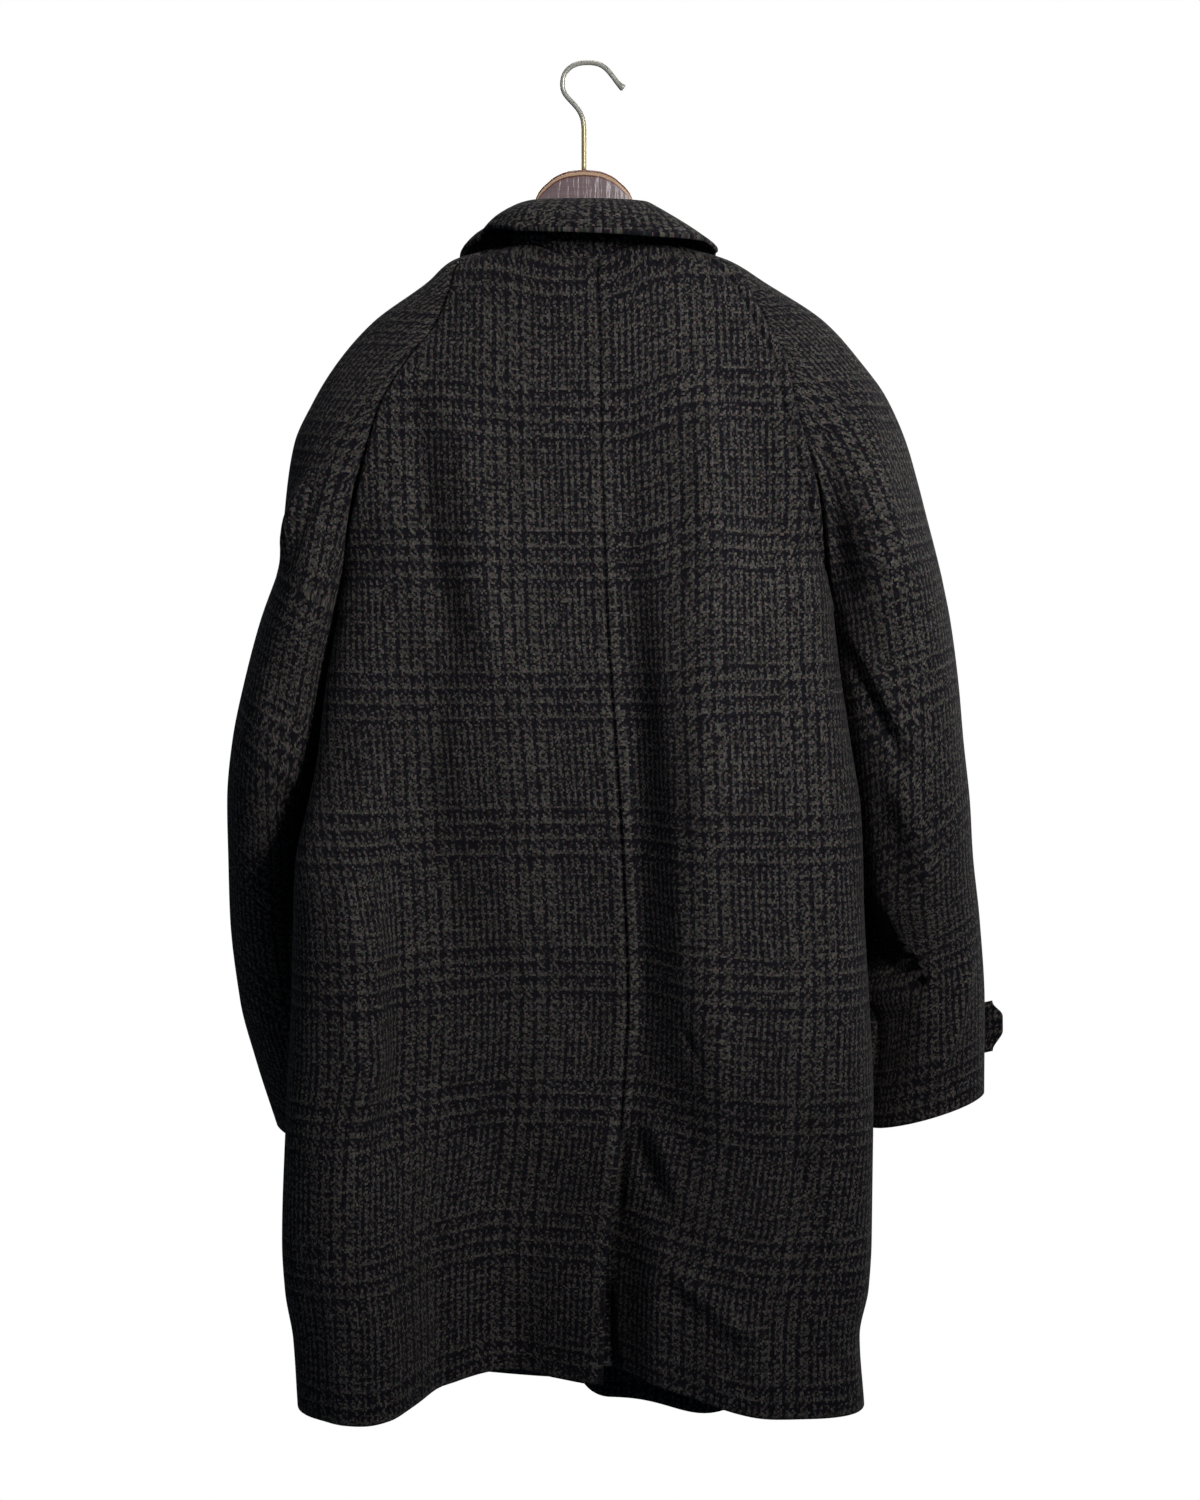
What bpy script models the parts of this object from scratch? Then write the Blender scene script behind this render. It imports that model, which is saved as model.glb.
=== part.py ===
"""A heavy raglan overcoat on a wooden hanger, hanging with its back to -Y.

The origin is the inside top of the hook. +X is the wearer's right, +Y the front of the coat, +Z up.
All sizes are in metres. Every row of the body runs round the coat at one level, which is its height at
the centre back; the tables give the shape of the rows and the functions run smoothly between them.
"""
import math

import bpy
import numpy as np

for old in list(bpy.data.objects):
    bpy.data.objects.remove(old, do_unlink=True)

# Cloth and seams
CLOTH = 0.003
COLLAR_CLOTH = 0.004
SEAM_GAP = 0.0004
LAP_GAP = 0.0015
ROUND = 2.4

# Levels of the coat at the centre back
NECK = -0.170
UNDERARM = -0.478
HEM = -1.147

# Grid of the panels
RAGLAN_ROWS = 13
SKIRT_ROWS = 14
ARM_ROWS = 14
BACK_COLUMNS = 20
FRONT_COLUMNS = 12
SLEEVE_COLUMNS = 8
COLLAR_COLUMNS = 37


def table(names, rows):
    """A table as one array for each named column; the first column is the key."""
    return {name: np.array([row[i] for row in rows], dtype=float) for i, name in enumerate(names)}


def smooth(source, name, at):
    """Value of a column at the given keys, by a cubic through the rows that does not overshoot."""
    names = list(source)
    order = np.argsort(source[names[0]])
    key = source[names[0]][order]
    value = source[name][order]
    step = np.diff(key)
    slope = np.diff(value) / step
    before = slope[:-1]
    after = slope[1:]
    same = before * after > 0
    tangent = np.concatenate(([slope[0]], np.zeros(len(before)), [slope[-1]]))
    tangent[1:-1][same] = 2 * before[same] * after[same] / (before[same] + after[same])
    at = np.clip(np.asarray(at, dtype=float), key[0], key[-1])
    i = np.clip(np.searchsorted(key, at) - 1, 0, len(step) - 1)
    t = (at - key[i]) / step[i]
    start = value[i] * (1 + 2 * t) * (1 - t) ** 2 + value[i + 1] * t * t * (3 - 2 * t)
    return start + step[i] * (tangent[i] * t * (1 - t) ** 2 - tangent[i + 1] * t * t * (1 - t))


def ease(low, high, at):
    """Soft step from 0 at the low value to 1 at the high value."""
    t = np.clip((at - low) / (high - low), 0, 1)
    return t * t * (3 - 2 * t)


# Body: centre-back seam, depth of back and front, squareness of the back's row, rise of the row at
# each side, fall of each front at its middle
BODY = table(("level", "seam", "back", "front", "square", "left_rise", "right_rise",
              "left_drop", "right_drop"), (
    (-0.170, 0.006, 0.046, 0.060, 2.4, 0.012, 0.012, -0.052, -0.052),
    (-0.188, 0.006, 0.055, 0.064, 2.4, 0.011, 0.011, -0.052, -0.052),
    (-0.205, 0.007, 0.062, 0.067, 2.4, 0.010, 0.010, -0.051, -0.051),
    (-0.238, 0.008, 0.071, 0.072, 2.4, 0.010, 0.010, -0.050, -0.050),
    (-0.307, 0.009, 0.081, 0.080, 2.6, 0.009, 0.009, -0.050, -0.050),
    (-0.380, 0.011, 0.086, 0.085, 3.0, 0.005, 0.005, -0.050, -0.050),
    (-0.478, 0.014, 0.089, 0.088, 3.6, 0.000, 0.000, -0.048, -0.050),
    (-0.614, 0.023, 0.089, 0.089, 4.4, -0.003, -0.003, -0.047, -0.051),
    (-0.700, 0.028, 0.087, 0.090, 5.0, -0.006, -0.005, -0.046, -0.053),
    (-0.814, 0.032, 0.084, 0.090, 5.6, -0.011, -0.009, -0.046, -0.055),
    (-0.927, 0.026, 0.081, 0.090, 6.0, -0.017, -0.016, -0.046, -0.058),
    (-1.051, 0.013, 0.078, 0.090, 6.0, -0.023, -0.024, -0.047, -0.062),
    (-1.147, 0.010, 0.077, 0.090, 6.0, -0.027, -0.032, -0.049, -0.065)))

# Side seams below the underarm
SIDES = table(("level", "left", "right"), (
    (-0.478, -0.2195, 0.2140),
    (-0.535, -0.2300, 0.2213),
    (-0.600, -0.2390, 0.2318),
    (-0.645, -0.2490, 0.2388),
    (-0.690, -0.2590, 0.2412),
    (-0.730, -0.2610, 0.2420),
    (-0.800, -0.2630, 0.2458),
    (-0.900, -0.2680, 0.2505),
    (-1.010, -0.2722, 0.2502),
    (-1.050, -0.2698, 0.2480),
    (-1.090, -0.2630, 0.2402),
    (-1.147, -0.2595, 0.2446)))

# Raglan part: seam and shoulder ridge, half depth of the arm and how far the seam has turned under it
RAGLAN = table(("level", "left_seam", "left_ridge", "right_seam", "right_ridge", "front_share",
                "half_depth", "turn", "ridge_rise", "front_rise"), (
    (-0.170, -0.0705, -0.0720, 0.0725, 0.0740, 0.95, 0.012, 30, 0.014, 0.010),
    (-0.188, -0.1180, -0.1225, 0.1190, 0.1240, 0.93, 0.026, 20, 0.017, 0.006),
    (-0.205, -0.1225, -0.1435, 0.1360, 0.1540, 0.93, 0.040, 20, 0.0155, 0.004),
    (-0.238, -0.1350, -0.1912, 0.1535, 0.2070, 0.94, 0.053, 20, 0.014, 0.002),
    (-0.270, -0.1600, -0.2210, 0.1695, 0.2372, 0.95, 0.062, 15, 0.013, 0.000),
    (-0.307, -0.1820, -0.2445, 0.1775, 0.2635, 0.96, 0.068, 6, 0.013, 0.000),
    (-0.345, -0.1942, -0.2612, 0.1885, 0.2795, 0.97, 0.072, -10, 0.015, 0.000),
    (-0.380, -0.2028, -0.2670, 0.1980, 0.2890, 0.98, 0.075, -29, 0.018, 0.000),
    (-0.420, -0.2108, -0.2707, 0.2040, 0.2985, 0.99, 0.077, -53, 0.022, 0.000),
    (-0.455, -0.2160, -0.2733, 0.2095, 0.3065, 1.00, 0.078, -75, 0.027, 0.000),
    (-0.478, -0.2205, -0.2778, 0.2150, 0.3115, 1.00, 0.078, -90, 0.030, 0.000)))

# Sleeves below the underarm: height and place of the outer seam, inner seam, middle, half depth and
# tilt of the row
ARM_NAMES = ("outer_z", "outer", "inner", "middle", "half_depth", "tilt")
ARMS = {
    "left": table(ARM_NAMES, (
        (-0.448, -0.2778, -0.2205, 0.000, 0.078, 0.030),
        (-0.487, -0.2926, -0.2275, 0.004, 0.078, 0.031),
        (-0.540, -0.3074, -0.2355, 0.006, 0.076, 0.032),
        (-0.594, -0.3198, -0.2455, 0.014, 0.073, 0.033),
        (-0.648, -0.3272, -0.2565, 0.032, 0.069, 0.034),
        (-0.700, -0.3293, -0.2590, 0.052, 0.066, 0.034),
        (-0.760, -0.3307, -0.2560, 0.072, 0.063, 0.034),
        (-0.840, -0.3254, -0.2430, 0.096, 0.058, 0.034),
        (-0.900, -0.3128, -0.2260, 0.112, 0.054, 0.034),
        (-0.962, -0.2955, -0.2080, 0.124, 0.052, 0.034))),
    "right": table(ARM_NAMES, (
        (-0.448, 0.3115, 0.2150, 0.000, 0.078, 0.030),
        (-0.487, 0.3198, 0.2194, 0.002, 0.077, 0.031),
        (-0.540, 0.3274, 0.2278, 0.003, 0.075, 0.033),
        (-0.594, 0.3332, 0.2374, 0.008, 0.071, 0.034),
        (-0.648, 0.3406, 0.2426, 0.018, 0.067, 0.034),
        (-0.700, 0.3458, 0.2440, 0.032, 0.063, 0.034),
        (-0.760, 0.3545, 0.2460, 0.048, 0.060, 0.034),
        (-0.840, 0.3605, 0.2490, 0.053, 0.056, 0.034),
        (-0.920, 0.3612, 0.2520, 0.056, 0.053, 0.031)))}
CUFF = {"left": -0.962, "right": -0.920}

# Large folds of the back: how far each row stands out from its centre depth, at places from the seam (0)
# to the side (1)
FOLD_PLACES = {"left": (0.00, 0.17, 0.33, 0.50, 0.60, 0.67, 0.75, 0.83, 0.91, 1.00),
               "right": (0.00, 0.12, 0.25, 0.40, 0.60, 0.72, 0.86, 1.00)}
FOLDS = {
    "left": table(("level", "at_seam", "at_17", "at_33", "at_50", "at_60", "at_67", "at_75", "at_83",
                   "at_91", "side"), (
        (-0.380, 0.000, 0.000, 0.000, 0.000, 0.000, 0.000, 0.000, 0.000, 0.000, 0.000),
        (-0.478, 0.000, 0.000, 0.004, 0.009, 0.003, 0.001, 0.000, 0.003, 0.004, 0.004),
        (-0.612, 0.000, -0.002, 0.003, 0.001, -0.004, 0.000, 0.005, 0.012, 0.014, 0.014),
        (-0.735, 0.000, -0.004, 0.000, -0.008, -0.002, 0.004, 0.034, 0.050, 0.050, 0.050),
        (-0.850, 0.000, -0.004, -0.004, -0.002, 0.000, 0.004, 0.040, 0.052, 0.052, 0.052),
        (-0.963, 0.004, -0.002, -0.004, 0.000, 0.022, 0.040, 0.056, 0.062, 0.058, 0.056),
        (-1.081, 0.018, 0.012, 0.002, 0.004, 0.040, 0.066, 0.070, 0.070, 0.062, 0.060),
        (-1.147, 0.022, 0.015, 0.002, 0.004, 0.040, 0.066, 0.072, 0.072, 0.064, 0.060))),
    "right": table(("level", "at_seam", "at_12", "at_25", "at_40", "at_60", "at_72", "at_86", "side"), (
        (-0.380, 0.000, 0.000, 0.000, 0.000, 0.000, 0.000, 0.000, 0.000),
        (-0.478, 0.000, 0.006, 0.016, 0.019, 0.019, 0.017, 0.014, 0.012),
        (-0.612, 0.000, 0.010, 0.027, 0.030, 0.030, 0.028, 0.026, 0.024),
        (-0.735, 0.000, 0.012, 0.032, 0.034, 0.035, 0.034, 0.034, 0.030),
        (-0.850, 0.000, 0.010, 0.028, 0.045, 0.046, 0.046, 0.045, 0.042),
        (-0.963, 0.002, 0.006, 0.018, 0.030, 0.034, 0.028, 0.034, 0.034),
        (-1.081, -0.012, 0.000, 0.014, 0.028, 0.032, 0.027, 0.032, 0.032),
        (-1.147, -0.012, 0.000, 0.012, 0.022, 0.030, 0.030, 0.032, 0.032)))}

# Front edges past the centre front, and the underlap of the vent
FRONT_EDGE = table(("level", "left", "right"), (
    (-0.170, 0.030, -0.030),
    (-0.400, 0.045, -0.045),
    (-0.800, 0.075, -0.035),
    (-1.147, 0.125, -0.012)))
UNDERLAP = table(("level", "reach", "depth"), (
    (-0.170, 0.000, 0.000),
    (-0.925, 0.000, 0.000),
    (-0.955, 0.000, 0.0046),
    (-1.030, 0.045, 0.0050),
    (-1.147, 0.045, 0.0050)))
FRONT_CORNER = 0.030
RIGHT_SAG = dict(across=0.115, half_width=0.055, depth=0.029, top=-0.95)

# Part of each back row over which it falls away to the side
SLOPE_SPAN = {"left": (0.30, 0.80), "right": (0.00, 0.66)}


def back_fold(level, side, place):
    """Height of the large folds: the table gives each row its heights, then a cubic runs along the row."""
    source = FOLDS[side]
    heights = np.stack([smooth(source, name, level) for name in list(source)[1:]], axis=-1)
    rows = [table(("place", "height"), list(zip(FOLD_PLACES[side], row))) for row in heights]
    return np.stack([smooth(row, "height", at) for row, at in zip(rows, place)])


def body_edge(level, side, face):
    """Where the body's row ends: the side seam, or the raglan seam above the underarm."""
    upper = level > UNDERARM
    turn = np.radians(smooth(RAGLAN, "turn", level))
    across = np.where(upper, smooth(RAGLAN, side + "_seam", level), smooth(SIDES, side, level))
    across = np.where(upper & (face == "front"), across * smooth(RAGLAN, "front_share", level), across)
    depth = np.where(upper, smooth(RAGLAN, "half_depth", level) * np.cos(turn), 0.0)
    depth = np.where(np.abs(level - UNDERARM) < 1e-6, 0.0, depth)
    if face == "front":
        rise = np.where(upper, smooth(RAGLAN, "front_rise", level), smooth(BODY, side + "_rise", level))
    else:
        rise = smooth(BODY, side + "_rise", level)
    inset = np.where(upper, 0.0, 0.0008 * np.sign(across))
    return across - inset, depth, rise


def body_arc(level, side, face, start, share):
    """Rows of a body panel: superellipse arcs from a start across the centre to the seam at the side.

    The back's arcs also stand out by the large folds, which die away at the side. The share runs from
    0 to 1 along each arc by its length. Returns points and outward directions.
    """
    level = np.asarray(level, dtype=float)[:, None]
    middle = smooth(BODY, "seam", level) if face == "back" else np.zeros_like(level)
    power = smooth(BODY, "square", level) if face == "back" else np.full_like(level, ROUND)
    edge, edge_depth, rise = body_edge(level, side, face)
    deep = smooth(BODY, face, level)
    ratio = np.clip(edge_depth / deep, 0, 0.999)
    half = np.abs(edge - middle) / (1 - ratio ** power) ** (1 / power)
    sign = 1.0 if side == "right" else -1.0
    first = (np.asarray(start, dtype=float)[:, None] - middle) * sign / half
    last = np.clip(np.abs(edge - middle) / half, 0, 1)
    begin = 1 - (1 - first) ** (1 / power)
    end = 1 - (1 - last) ** (1 / power)
    step = begin + (end - begin) * np.linspace(0, 1, 240)[None, :]
    ux = 1 - (1 - step) ** power
    uy = np.clip(1 - np.abs(ux) ** power, 0, 1) ** (1 / power)
    place = ux / last
    depth = uy * deep
    if face == "back":
        depth = depth + back_fold(level[:, 0], side, place) * (uy - ratio) / (1 - ratio)
    length = np.concatenate((np.zeros_like(level),
                             np.cumsum(np.hypot(np.diff(ux) * half, np.diff(depth)), axis=1)), axis=1)
    share = np.broadcast_to(np.asarray(share, dtype=float), (len(level), np.shape(share)[-1]))
    pick_x = np.stack([np.interp(s * w[-1], w, u) for s, w, u in zip(share, length, ux)])
    pick_y = np.stack([np.interp(s * w[-1], w, u) for s, w, u in zip(share, length, uy)])
    pick_depth = np.stack([np.interp(s * w[-1], w, u) for s, w, u in zip(share, length, depth)])
    face_sign = -1.0 if face == "back" else 1.0
    out_x = sign * np.sign(pick_x) * np.abs(pick_x) ** (power - 1) / half
    out_y = face_sign * pick_y ** (power - 1) / deep
    size = np.hypot(out_x, out_y)
    place = np.clip(np.abs(pick_x) / last, 0, 1)
    if face == "back":
        z = level + rise * ease(*SLOPE_SPAN[side], place)
    else:
        drop = smooth(BODY, side + "_drop", level)
        z = level + drop + (rise - drop) * ease(0, 1, place)
    points = np.stack((middle + sign * pick_x * half, face_sign * pick_depth, z), axis=-1)
    outward = np.stack((out_x / size, out_y / size, np.zeros_like(z)), axis=-1)
    return points, outward


def sleeve_arc(row, side, face, share):
    """Rows of a sleeve half, from the raglan or underarm seam (share 0) to the ridge (share 1).

    Each row is part of an ellipse; rows 0 to 1 are the raglan part, rows 1 to 2 run down to the cuff.
    """
    row = np.asarray(row, dtype=float)[:, None]
    upper = row <= 1
    level = NECK + (UNDERARM - NECK) * np.clip(row, 0, 1)
    outer_z = smooth(RAGLAN, "ridge_rise", UNDERARM) + UNDERARM
    low_z = outer_z + (CUFF[side] - outer_z) * np.clip(row - 1, 0, 1)
    arm = ARMS[side]
    turn = np.where(upper, np.radians(smooth(RAGLAN, "turn", level)), -math.pi / 2)
    depth = np.where(upper, smooth(RAGLAN, "half_depth", level), smooth(arm, "half_depth", low_z))
    ridge = np.where(upper, smooth(RAGLAN, side + "_ridge", level), smooth(arm, "outer", low_z))
    seam = smooth(RAGLAN, side + "_seam", level)
    if face == "front":
        seam = seam * smooth(RAGLAN, "front_share", level)
        seam_z = level + smooth(RAGLAN, "front_rise", level)
    else:
        seam_z = level + smooth(BODY, side + "_rise", level)
    seam = np.where(upper, seam, smooth(arm, "inner", low_z))
    ridge_z = np.where(upper, level + smooth(RAGLAN, "ridge_rise", level), low_z)
    seam_z = np.where(upper, seam_z, low_z - smooth(arm, "tilt", low_z))
    centre_y = np.where(upper, 0.0, smooth(arm, "middle", low_z))
    wide = (ridge - seam) / (1 - np.sin(turn))
    t = np.linspace(0, 1, 120)[None, :]
    angle = turn + (math.pi / 2 - turn) * t
    length = np.concatenate((np.zeros_like(row), np.cumsum(
        np.hypot(np.diff(np.sin(angle)) * wide, np.diff(np.cos(angle)) * depth), axis=1)), axis=1)
    share = np.broadcast_to(np.asarray(share, dtype=float), (len(row), np.shape(share)[-1]))
    angle = np.stack([np.interp(s * w[-1], w, a) for s, w, a in zip(share, length, angle)])
    face_sign = -1.0 if face == "back" else 1.0
    x = ridge - wide * (1 - np.sin(angle))
    y = centre_y + face_sign * depth * np.cos(angle)
    z = seam_z + (ridge_z - seam_z) * (np.sin(angle) - np.sin(turn)) / (1 - np.sin(turn))
    return np.stack((x, y, z), axis=-1)


def raglan_levels():
    """Levels of the rows shared by the body and the sleeves, closer together at the neck and underarm."""
    t = np.linspace(0, 1, RAGLAN_ROWS)
    return NECK + (UNDERARM - NECK) * (0.45 * t + 0.55 * t * t * (3 - 2 * t))


def grid_normals(grid):
    """Unit normals of a grid of points, across its rows and columns."""
    along = np.gradient(grid, axis=0)
    across = np.gradient(grid, axis=1)
    normal = np.cross(across, along)
    return normal / np.linalg.norm(normal, axis=-1, keepdims=True)


def material(name, colour, rough):
    """Plain material of one colour."""
    made = bpy.data.materials.get(name) or bpy.data.materials.new(name)
    made.use_nodes = True
    shader = made.node_tree.nodes["Principled BSDF"]
    shader.inputs["Base Color"].default_value = (*colour, 1.0)
    shader.inputs["Roughness"].default_value = rough
    return made


def add_object(name, vertices, faces, look):
    """One named object from points and faces, all faces turned outward."""
    mesh = bpy.data.meshes.new(name)
    mesh.from_pydata([tuple(v) for v in vertices], [], [tuple(f) for f in faces])
    mesh.validate()
    mesh.materials.append(look)
    made = bpy.data.objects.new(name, mesh)
    bpy.context.scene.collection.objects.link(made)
    mesh.update()
    corners = [np.array([mesh.vertices[i].co for i in poly.vertices]) for poly in mesh.polygons]
    volume = 0.0
    for points in corners:
        for k in range(1, len(points) - 1):
            volume += float(np.dot(points[0], np.cross(points[k], points[k + 1])))
    if volume < 0:
        mesh.flip_normals()
    return made


def wall(name, outer, inner, look):
    """Closed wall between two grids of points of the same size."""
    rows, columns = outer.shape[:2]
    count = rows * columns
    index = np.arange(count).reshape(rows, columns)
    faces = []
    for r in range(rows - 1):
        for c in range(columns - 1):
            quad = (index[r, c], index[r, c + 1], index[r + 1, c + 1], index[r + 1, c])
            faces.append(quad)
            faces.append(tuple(count + k for k in reversed(quad)))
    ring = list(index[0, :]) + list(index[1:, -1]) + list(index[-1, -2::-1]) + list(index[-2:0:-1, 0])
    for k, here in enumerate(ring):
        there = ring[(k + 1) % len(ring)]
        faces.append((there, here, count + here, count + there))
    vertices = np.concatenate((outer.reshape(-1, 3), inner.reshape(-1, 3)))
    return add_object(name, vertices, faces, look)


def cloth_wall(name, grid, outside, seams, look, thick=CLOTH):
    """Wall of cloth whose outer face is the grid.

    At each seam (column, axis, first row) the thickness has no part along that axis, so neighbours
    stay clear.
    """
    normal = grid_normals(grid)
    turn = np.sign(np.sum(normal * outside, axis=(0, 1, 2)))
    normal = normal * (turn if turn else 1.0)
    for column, axis, first in seams:
        normal[first:, column, axis] = 0.0
    normal = normal / np.linalg.norm(normal, axis=-1, keepdims=True)
    return wall(name, grid, grid - normal * thick, look)


def inset_columns(grid, low, high):
    """Grid with its first and last columns moved in along the rows by the given distances."""
    moved = grid.copy()
    if low:
        step = grid[:, 1] - grid[:, 0]
        moved[:, 0] += step * (low / np.linalg.norm(step, axis=-1, keepdims=True))
    if high:
        step = grid[:, -2] - grid[:, -1]
        moved[:, -1] += step * (high / np.linalg.norm(step, axis=-1, keepdims=True))
    return moved


CLOTH_LOOK = material("wool_check", (0.045, 0.042, 0.042), 0.95)
COLLAR_LOOK = material("wool_check_collar", (0.050, 0.046, 0.046), 0.95)
BUTTON_LOOK = material("horn_button", (0.020, 0.016, 0.014), 0.35)
WOOD_LOOK = material("varnished_wood", (0.110, 0.040, 0.030), 0.25)
METAL_LOOK = material("plated_wire", (0.620, 0.580, 0.500), 0.25)

LEVELS = np.concatenate((raglan_levels(), np.linspace(UNDERARM, HEM, SKIRT_ROWS + 1)[1:]))
ROWS = np.concatenate(((raglan_levels() - NECK) / (UNDERARM - NECK), np.linspace(1, 2, ARM_ROWS + 1)[1:]))
HALF_GAP = SEAM_GAP / 2
BACK_SHARE = np.linspace(0, 1, BACK_COLUMNS)
t = np.linspace(0, 1, FRONT_COLUMNS)
FRONT_SHARE = 0.7 * t + 0.3 * (1 - (1 - t) ** 2)


def back_panel(side, share):
    """Outer face of a back panel; the right one has the underlap of the vent grown on to it."""
    start = smooth(BODY, "seam", LEVELS)
    if side == "right":
        start = start - smooth(UNDERLAP, "reach", LEVELS)
    grid, outward = body_arc(LEVELS, side, "back", start, share)
    if side == "right":
        past = grid[..., 0] - smooth(BODY, "seam", LEVELS)[:, None]
        grid[..., 1] += smooth(UNDERLAP, "depth", LEVELS)[:, None] * (1 - ease(0.0, 0.06, past))
    return grid, outward


def front_panel(side, share):
    """Outer face of a front panel from its free edge; the right one lies inside the left where they lap."""
    start = smooth(FRONT_EDGE, side, LEVELS)
    points, outward = body_arc(LEVELS, side, "front", start, share)
    if side == "right":
        cover = smooth(FRONT_EDGE, "left", LEVELS)[:, None]
        lap = 1 - ease(0.004, 0.035, points[..., 0] - cover)
        points = points - outward * (lap * (CLOTH + LAP_GAP))[..., None]
        away = (points[..., 0] - RIGHT_SAG["across"]) / RIGHT_SAG["half_width"]
        fall = ease(RIGHT_SAG["top"], HEM, LEVELS)[:, None]
        points[..., 2] -= RIGHT_SAG["depth"] * np.exp(-away * away) * fall
    near = np.clip(1 - np.abs(points[..., 0] - start[:, None]) / FRONT_CORNER, 0, 1)
    round_off = FRONT_CORNER * (1 - np.sqrt(1 - near * near))
    points[..., 2] += round_off * ease(HEM + 0.12, HEM, LEVELS)[:, None]
    return points, outward


# Back panels: the left one ends at the vent's edge, the right one goes under it
for side in ("left", "right"):
    grid, outward = back_panel(side, BACK_SHARE)
    grid = inset_columns(grid, HALF_GAP, HALF_GAP)
    cloth_wall("back_" + side, grid, outward, ((0, 0, 0), (-1, 1, RAGLAN_ROWS - 1)), CLOTH_LOOK)

# Front panels
for side in ("left", "right"):
    grid, outward = front_panel(side, FRONT_SHARE)
    grid = inset_columns(grid, 0.0, HALF_GAP)
    cloth_wall("front_" + side, grid, outward, ((-1, 1, RAGLAN_ROWS - 1),), CLOTH_LOOK)

# Sleeve halves, meeting at the shoulder ridge and along the underarm
for side in ("left", "right"):
    for face in ("back", "front"):
        grid = sleeve_arc(ROWS, side, face, np.linspace(0, 1, SLEEVE_COLUMNS))
        centre = 0.5 * (sleeve_arc(ROWS, side, "back", np.array([0.5])) +
                        sleeve_arc(ROWS, side, "front", np.array([0.5])))
        outward = grid - centre
        grid = inset_columns(grid, HALF_GAP, HALF_GAP)
        seams = ((-1, 1, 0), (0, 1, RAGLAN_ROWS - 1))
        cloth_wall("sleeve_" + face + "_" + side, grid, outward, seams, CLOTH_LOOK)

# Collar: fold of the stand and edge of the fall, by their share of the way round from centre back to front
COLLAR_NAMES = ("around", "fold", "fold_z", "out", "edge_z", "bulge")
COLLAR = {
    "left": table(COLLAR_NAMES, (
        (0.00, 0.001, -0.1255, 0.034, -0.1540, 0.006),
        (0.20, 0.003, -0.1257, 0.033, -0.1510, 0.005),
        (0.33, 0.000, -0.1295, 0.024, -0.1460, 0.002),
        (0.42, -0.004, -0.1380, 0.024, -0.1530, 0.004),
        (0.50, -0.004, -0.1455, 0.044, -0.1610, 0.007),
        (0.58, -0.003, -0.1530, 0.052, -0.1690, 0.006),
        (0.68, -0.002, -0.1640, 0.048, -0.1880, 0.004),
        (0.80, 0.001, -0.1800, 0.038, -0.2180, 0.006),
        (0.98, 0.002, -0.1970, 0.032, -0.2500, 0.005))),
    "right": table(COLLAR_NAMES, (
        (0.00, 0.001, -0.1255, 0.034, -0.1540, 0.006),
        (0.20, -0.008, -0.1260, 0.033, -0.1566, 0.003),
        (0.33, -0.015, -0.1320, 0.033, -0.1568, 0.002),
        (0.42, -0.019, -0.1365, 0.037, -0.1625, 0.001),
        (0.52, -0.014, -0.1445, 0.042, -0.1655, 0.003),
        (0.65, -0.004, -0.1600, 0.044, -0.1825, 0.005),
        (0.80, 0.001, -0.1800, 0.038, -0.2180, 0.006),
        (0.98, 0.002, -0.1970, 0.032, -0.2500, 0.005)))}
COLLAR_END = 0.97
FRONT_FOOT_GAP = 0.0035
STAND_ROWS = 4
FALL_ROWS = 6


def neck_ring(side, around):
    """Points of the neck seam by share from the centre back to the centre front, with outward ways."""
    top = np.array([NECK])
    share = np.linspace(0, 1, 40)
    back = body_arc(top, side, "back", smooth(BODY, "seam", top), share)[0][0]
    over = sleeve_arc(np.array([0.0]), side, "back", share)[0]
    under = sleeve_arc(np.array([0.0]), side, "front", share)[0][::-1]
    front = body_arc(top, side, "front", np.zeros(1), share)[0][0][::-1]
    line = np.concatenate((back, over[1:], under[1:], front[1:]))
    length = np.concatenate(([0.0], np.cumsum(np.linalg.norm(np.diff(line, axis=0), axis=1))))
    points = np.stack([np.interp(around * length[-1], length, line[:, k]) for k in range(3)], axis=-1)
    sign = 1.0 if side == "right" else -1.0
    turn = math.pi * around
    outward = np.stack((sign * np.sin(turn), -np.cos(turn), np.zeros_like(turn)), axis=-1)
    return points, outward


around = np.linspace(-COLLAR_END, COLLAR_END, COLLAR_COLUMNS)
left_points, left_out = neck_ring("left", np.abs(around))
right_points, right_out = neck_ring("right", np.abs(around))
is_right = (around >= 0)[:, None]
neck = np.where(is_right, right_points, left_points)
away = np.where(is_right, right_out, left_out)
key = np.abs(around)


def collar_size(name):
    """A collar size round the whole neck, from the tables of its left and right side."""
    right = smooth(COLLAR["right"], name, key)
    left = smooth(COLLAR["left"], name, key)
    return np.where(around >= 0, right, left)[:, None]


up = np.array([0.0, 0.0, 1.0])

foot_gap = SEAM_GAP + FRONT_FOOT_GAP * ease(0.45, 0.90, key)
stand_foot = neck + up * foot_gap[:, None] - away * 0.0005
stand_top = neck + away * collar_size("fold")
stand_top[:, 2] = collar_size("fold_z")[:, 0]
t = np.linspace(0, 1, STAND_ROWS)[:, None, None]
stand = stand_foot + (stand_top - stand_foot) * t
wall("collar_stand", stand, stand - away * COLLAR_CLOTH, COLLAR_LOOK)

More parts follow.
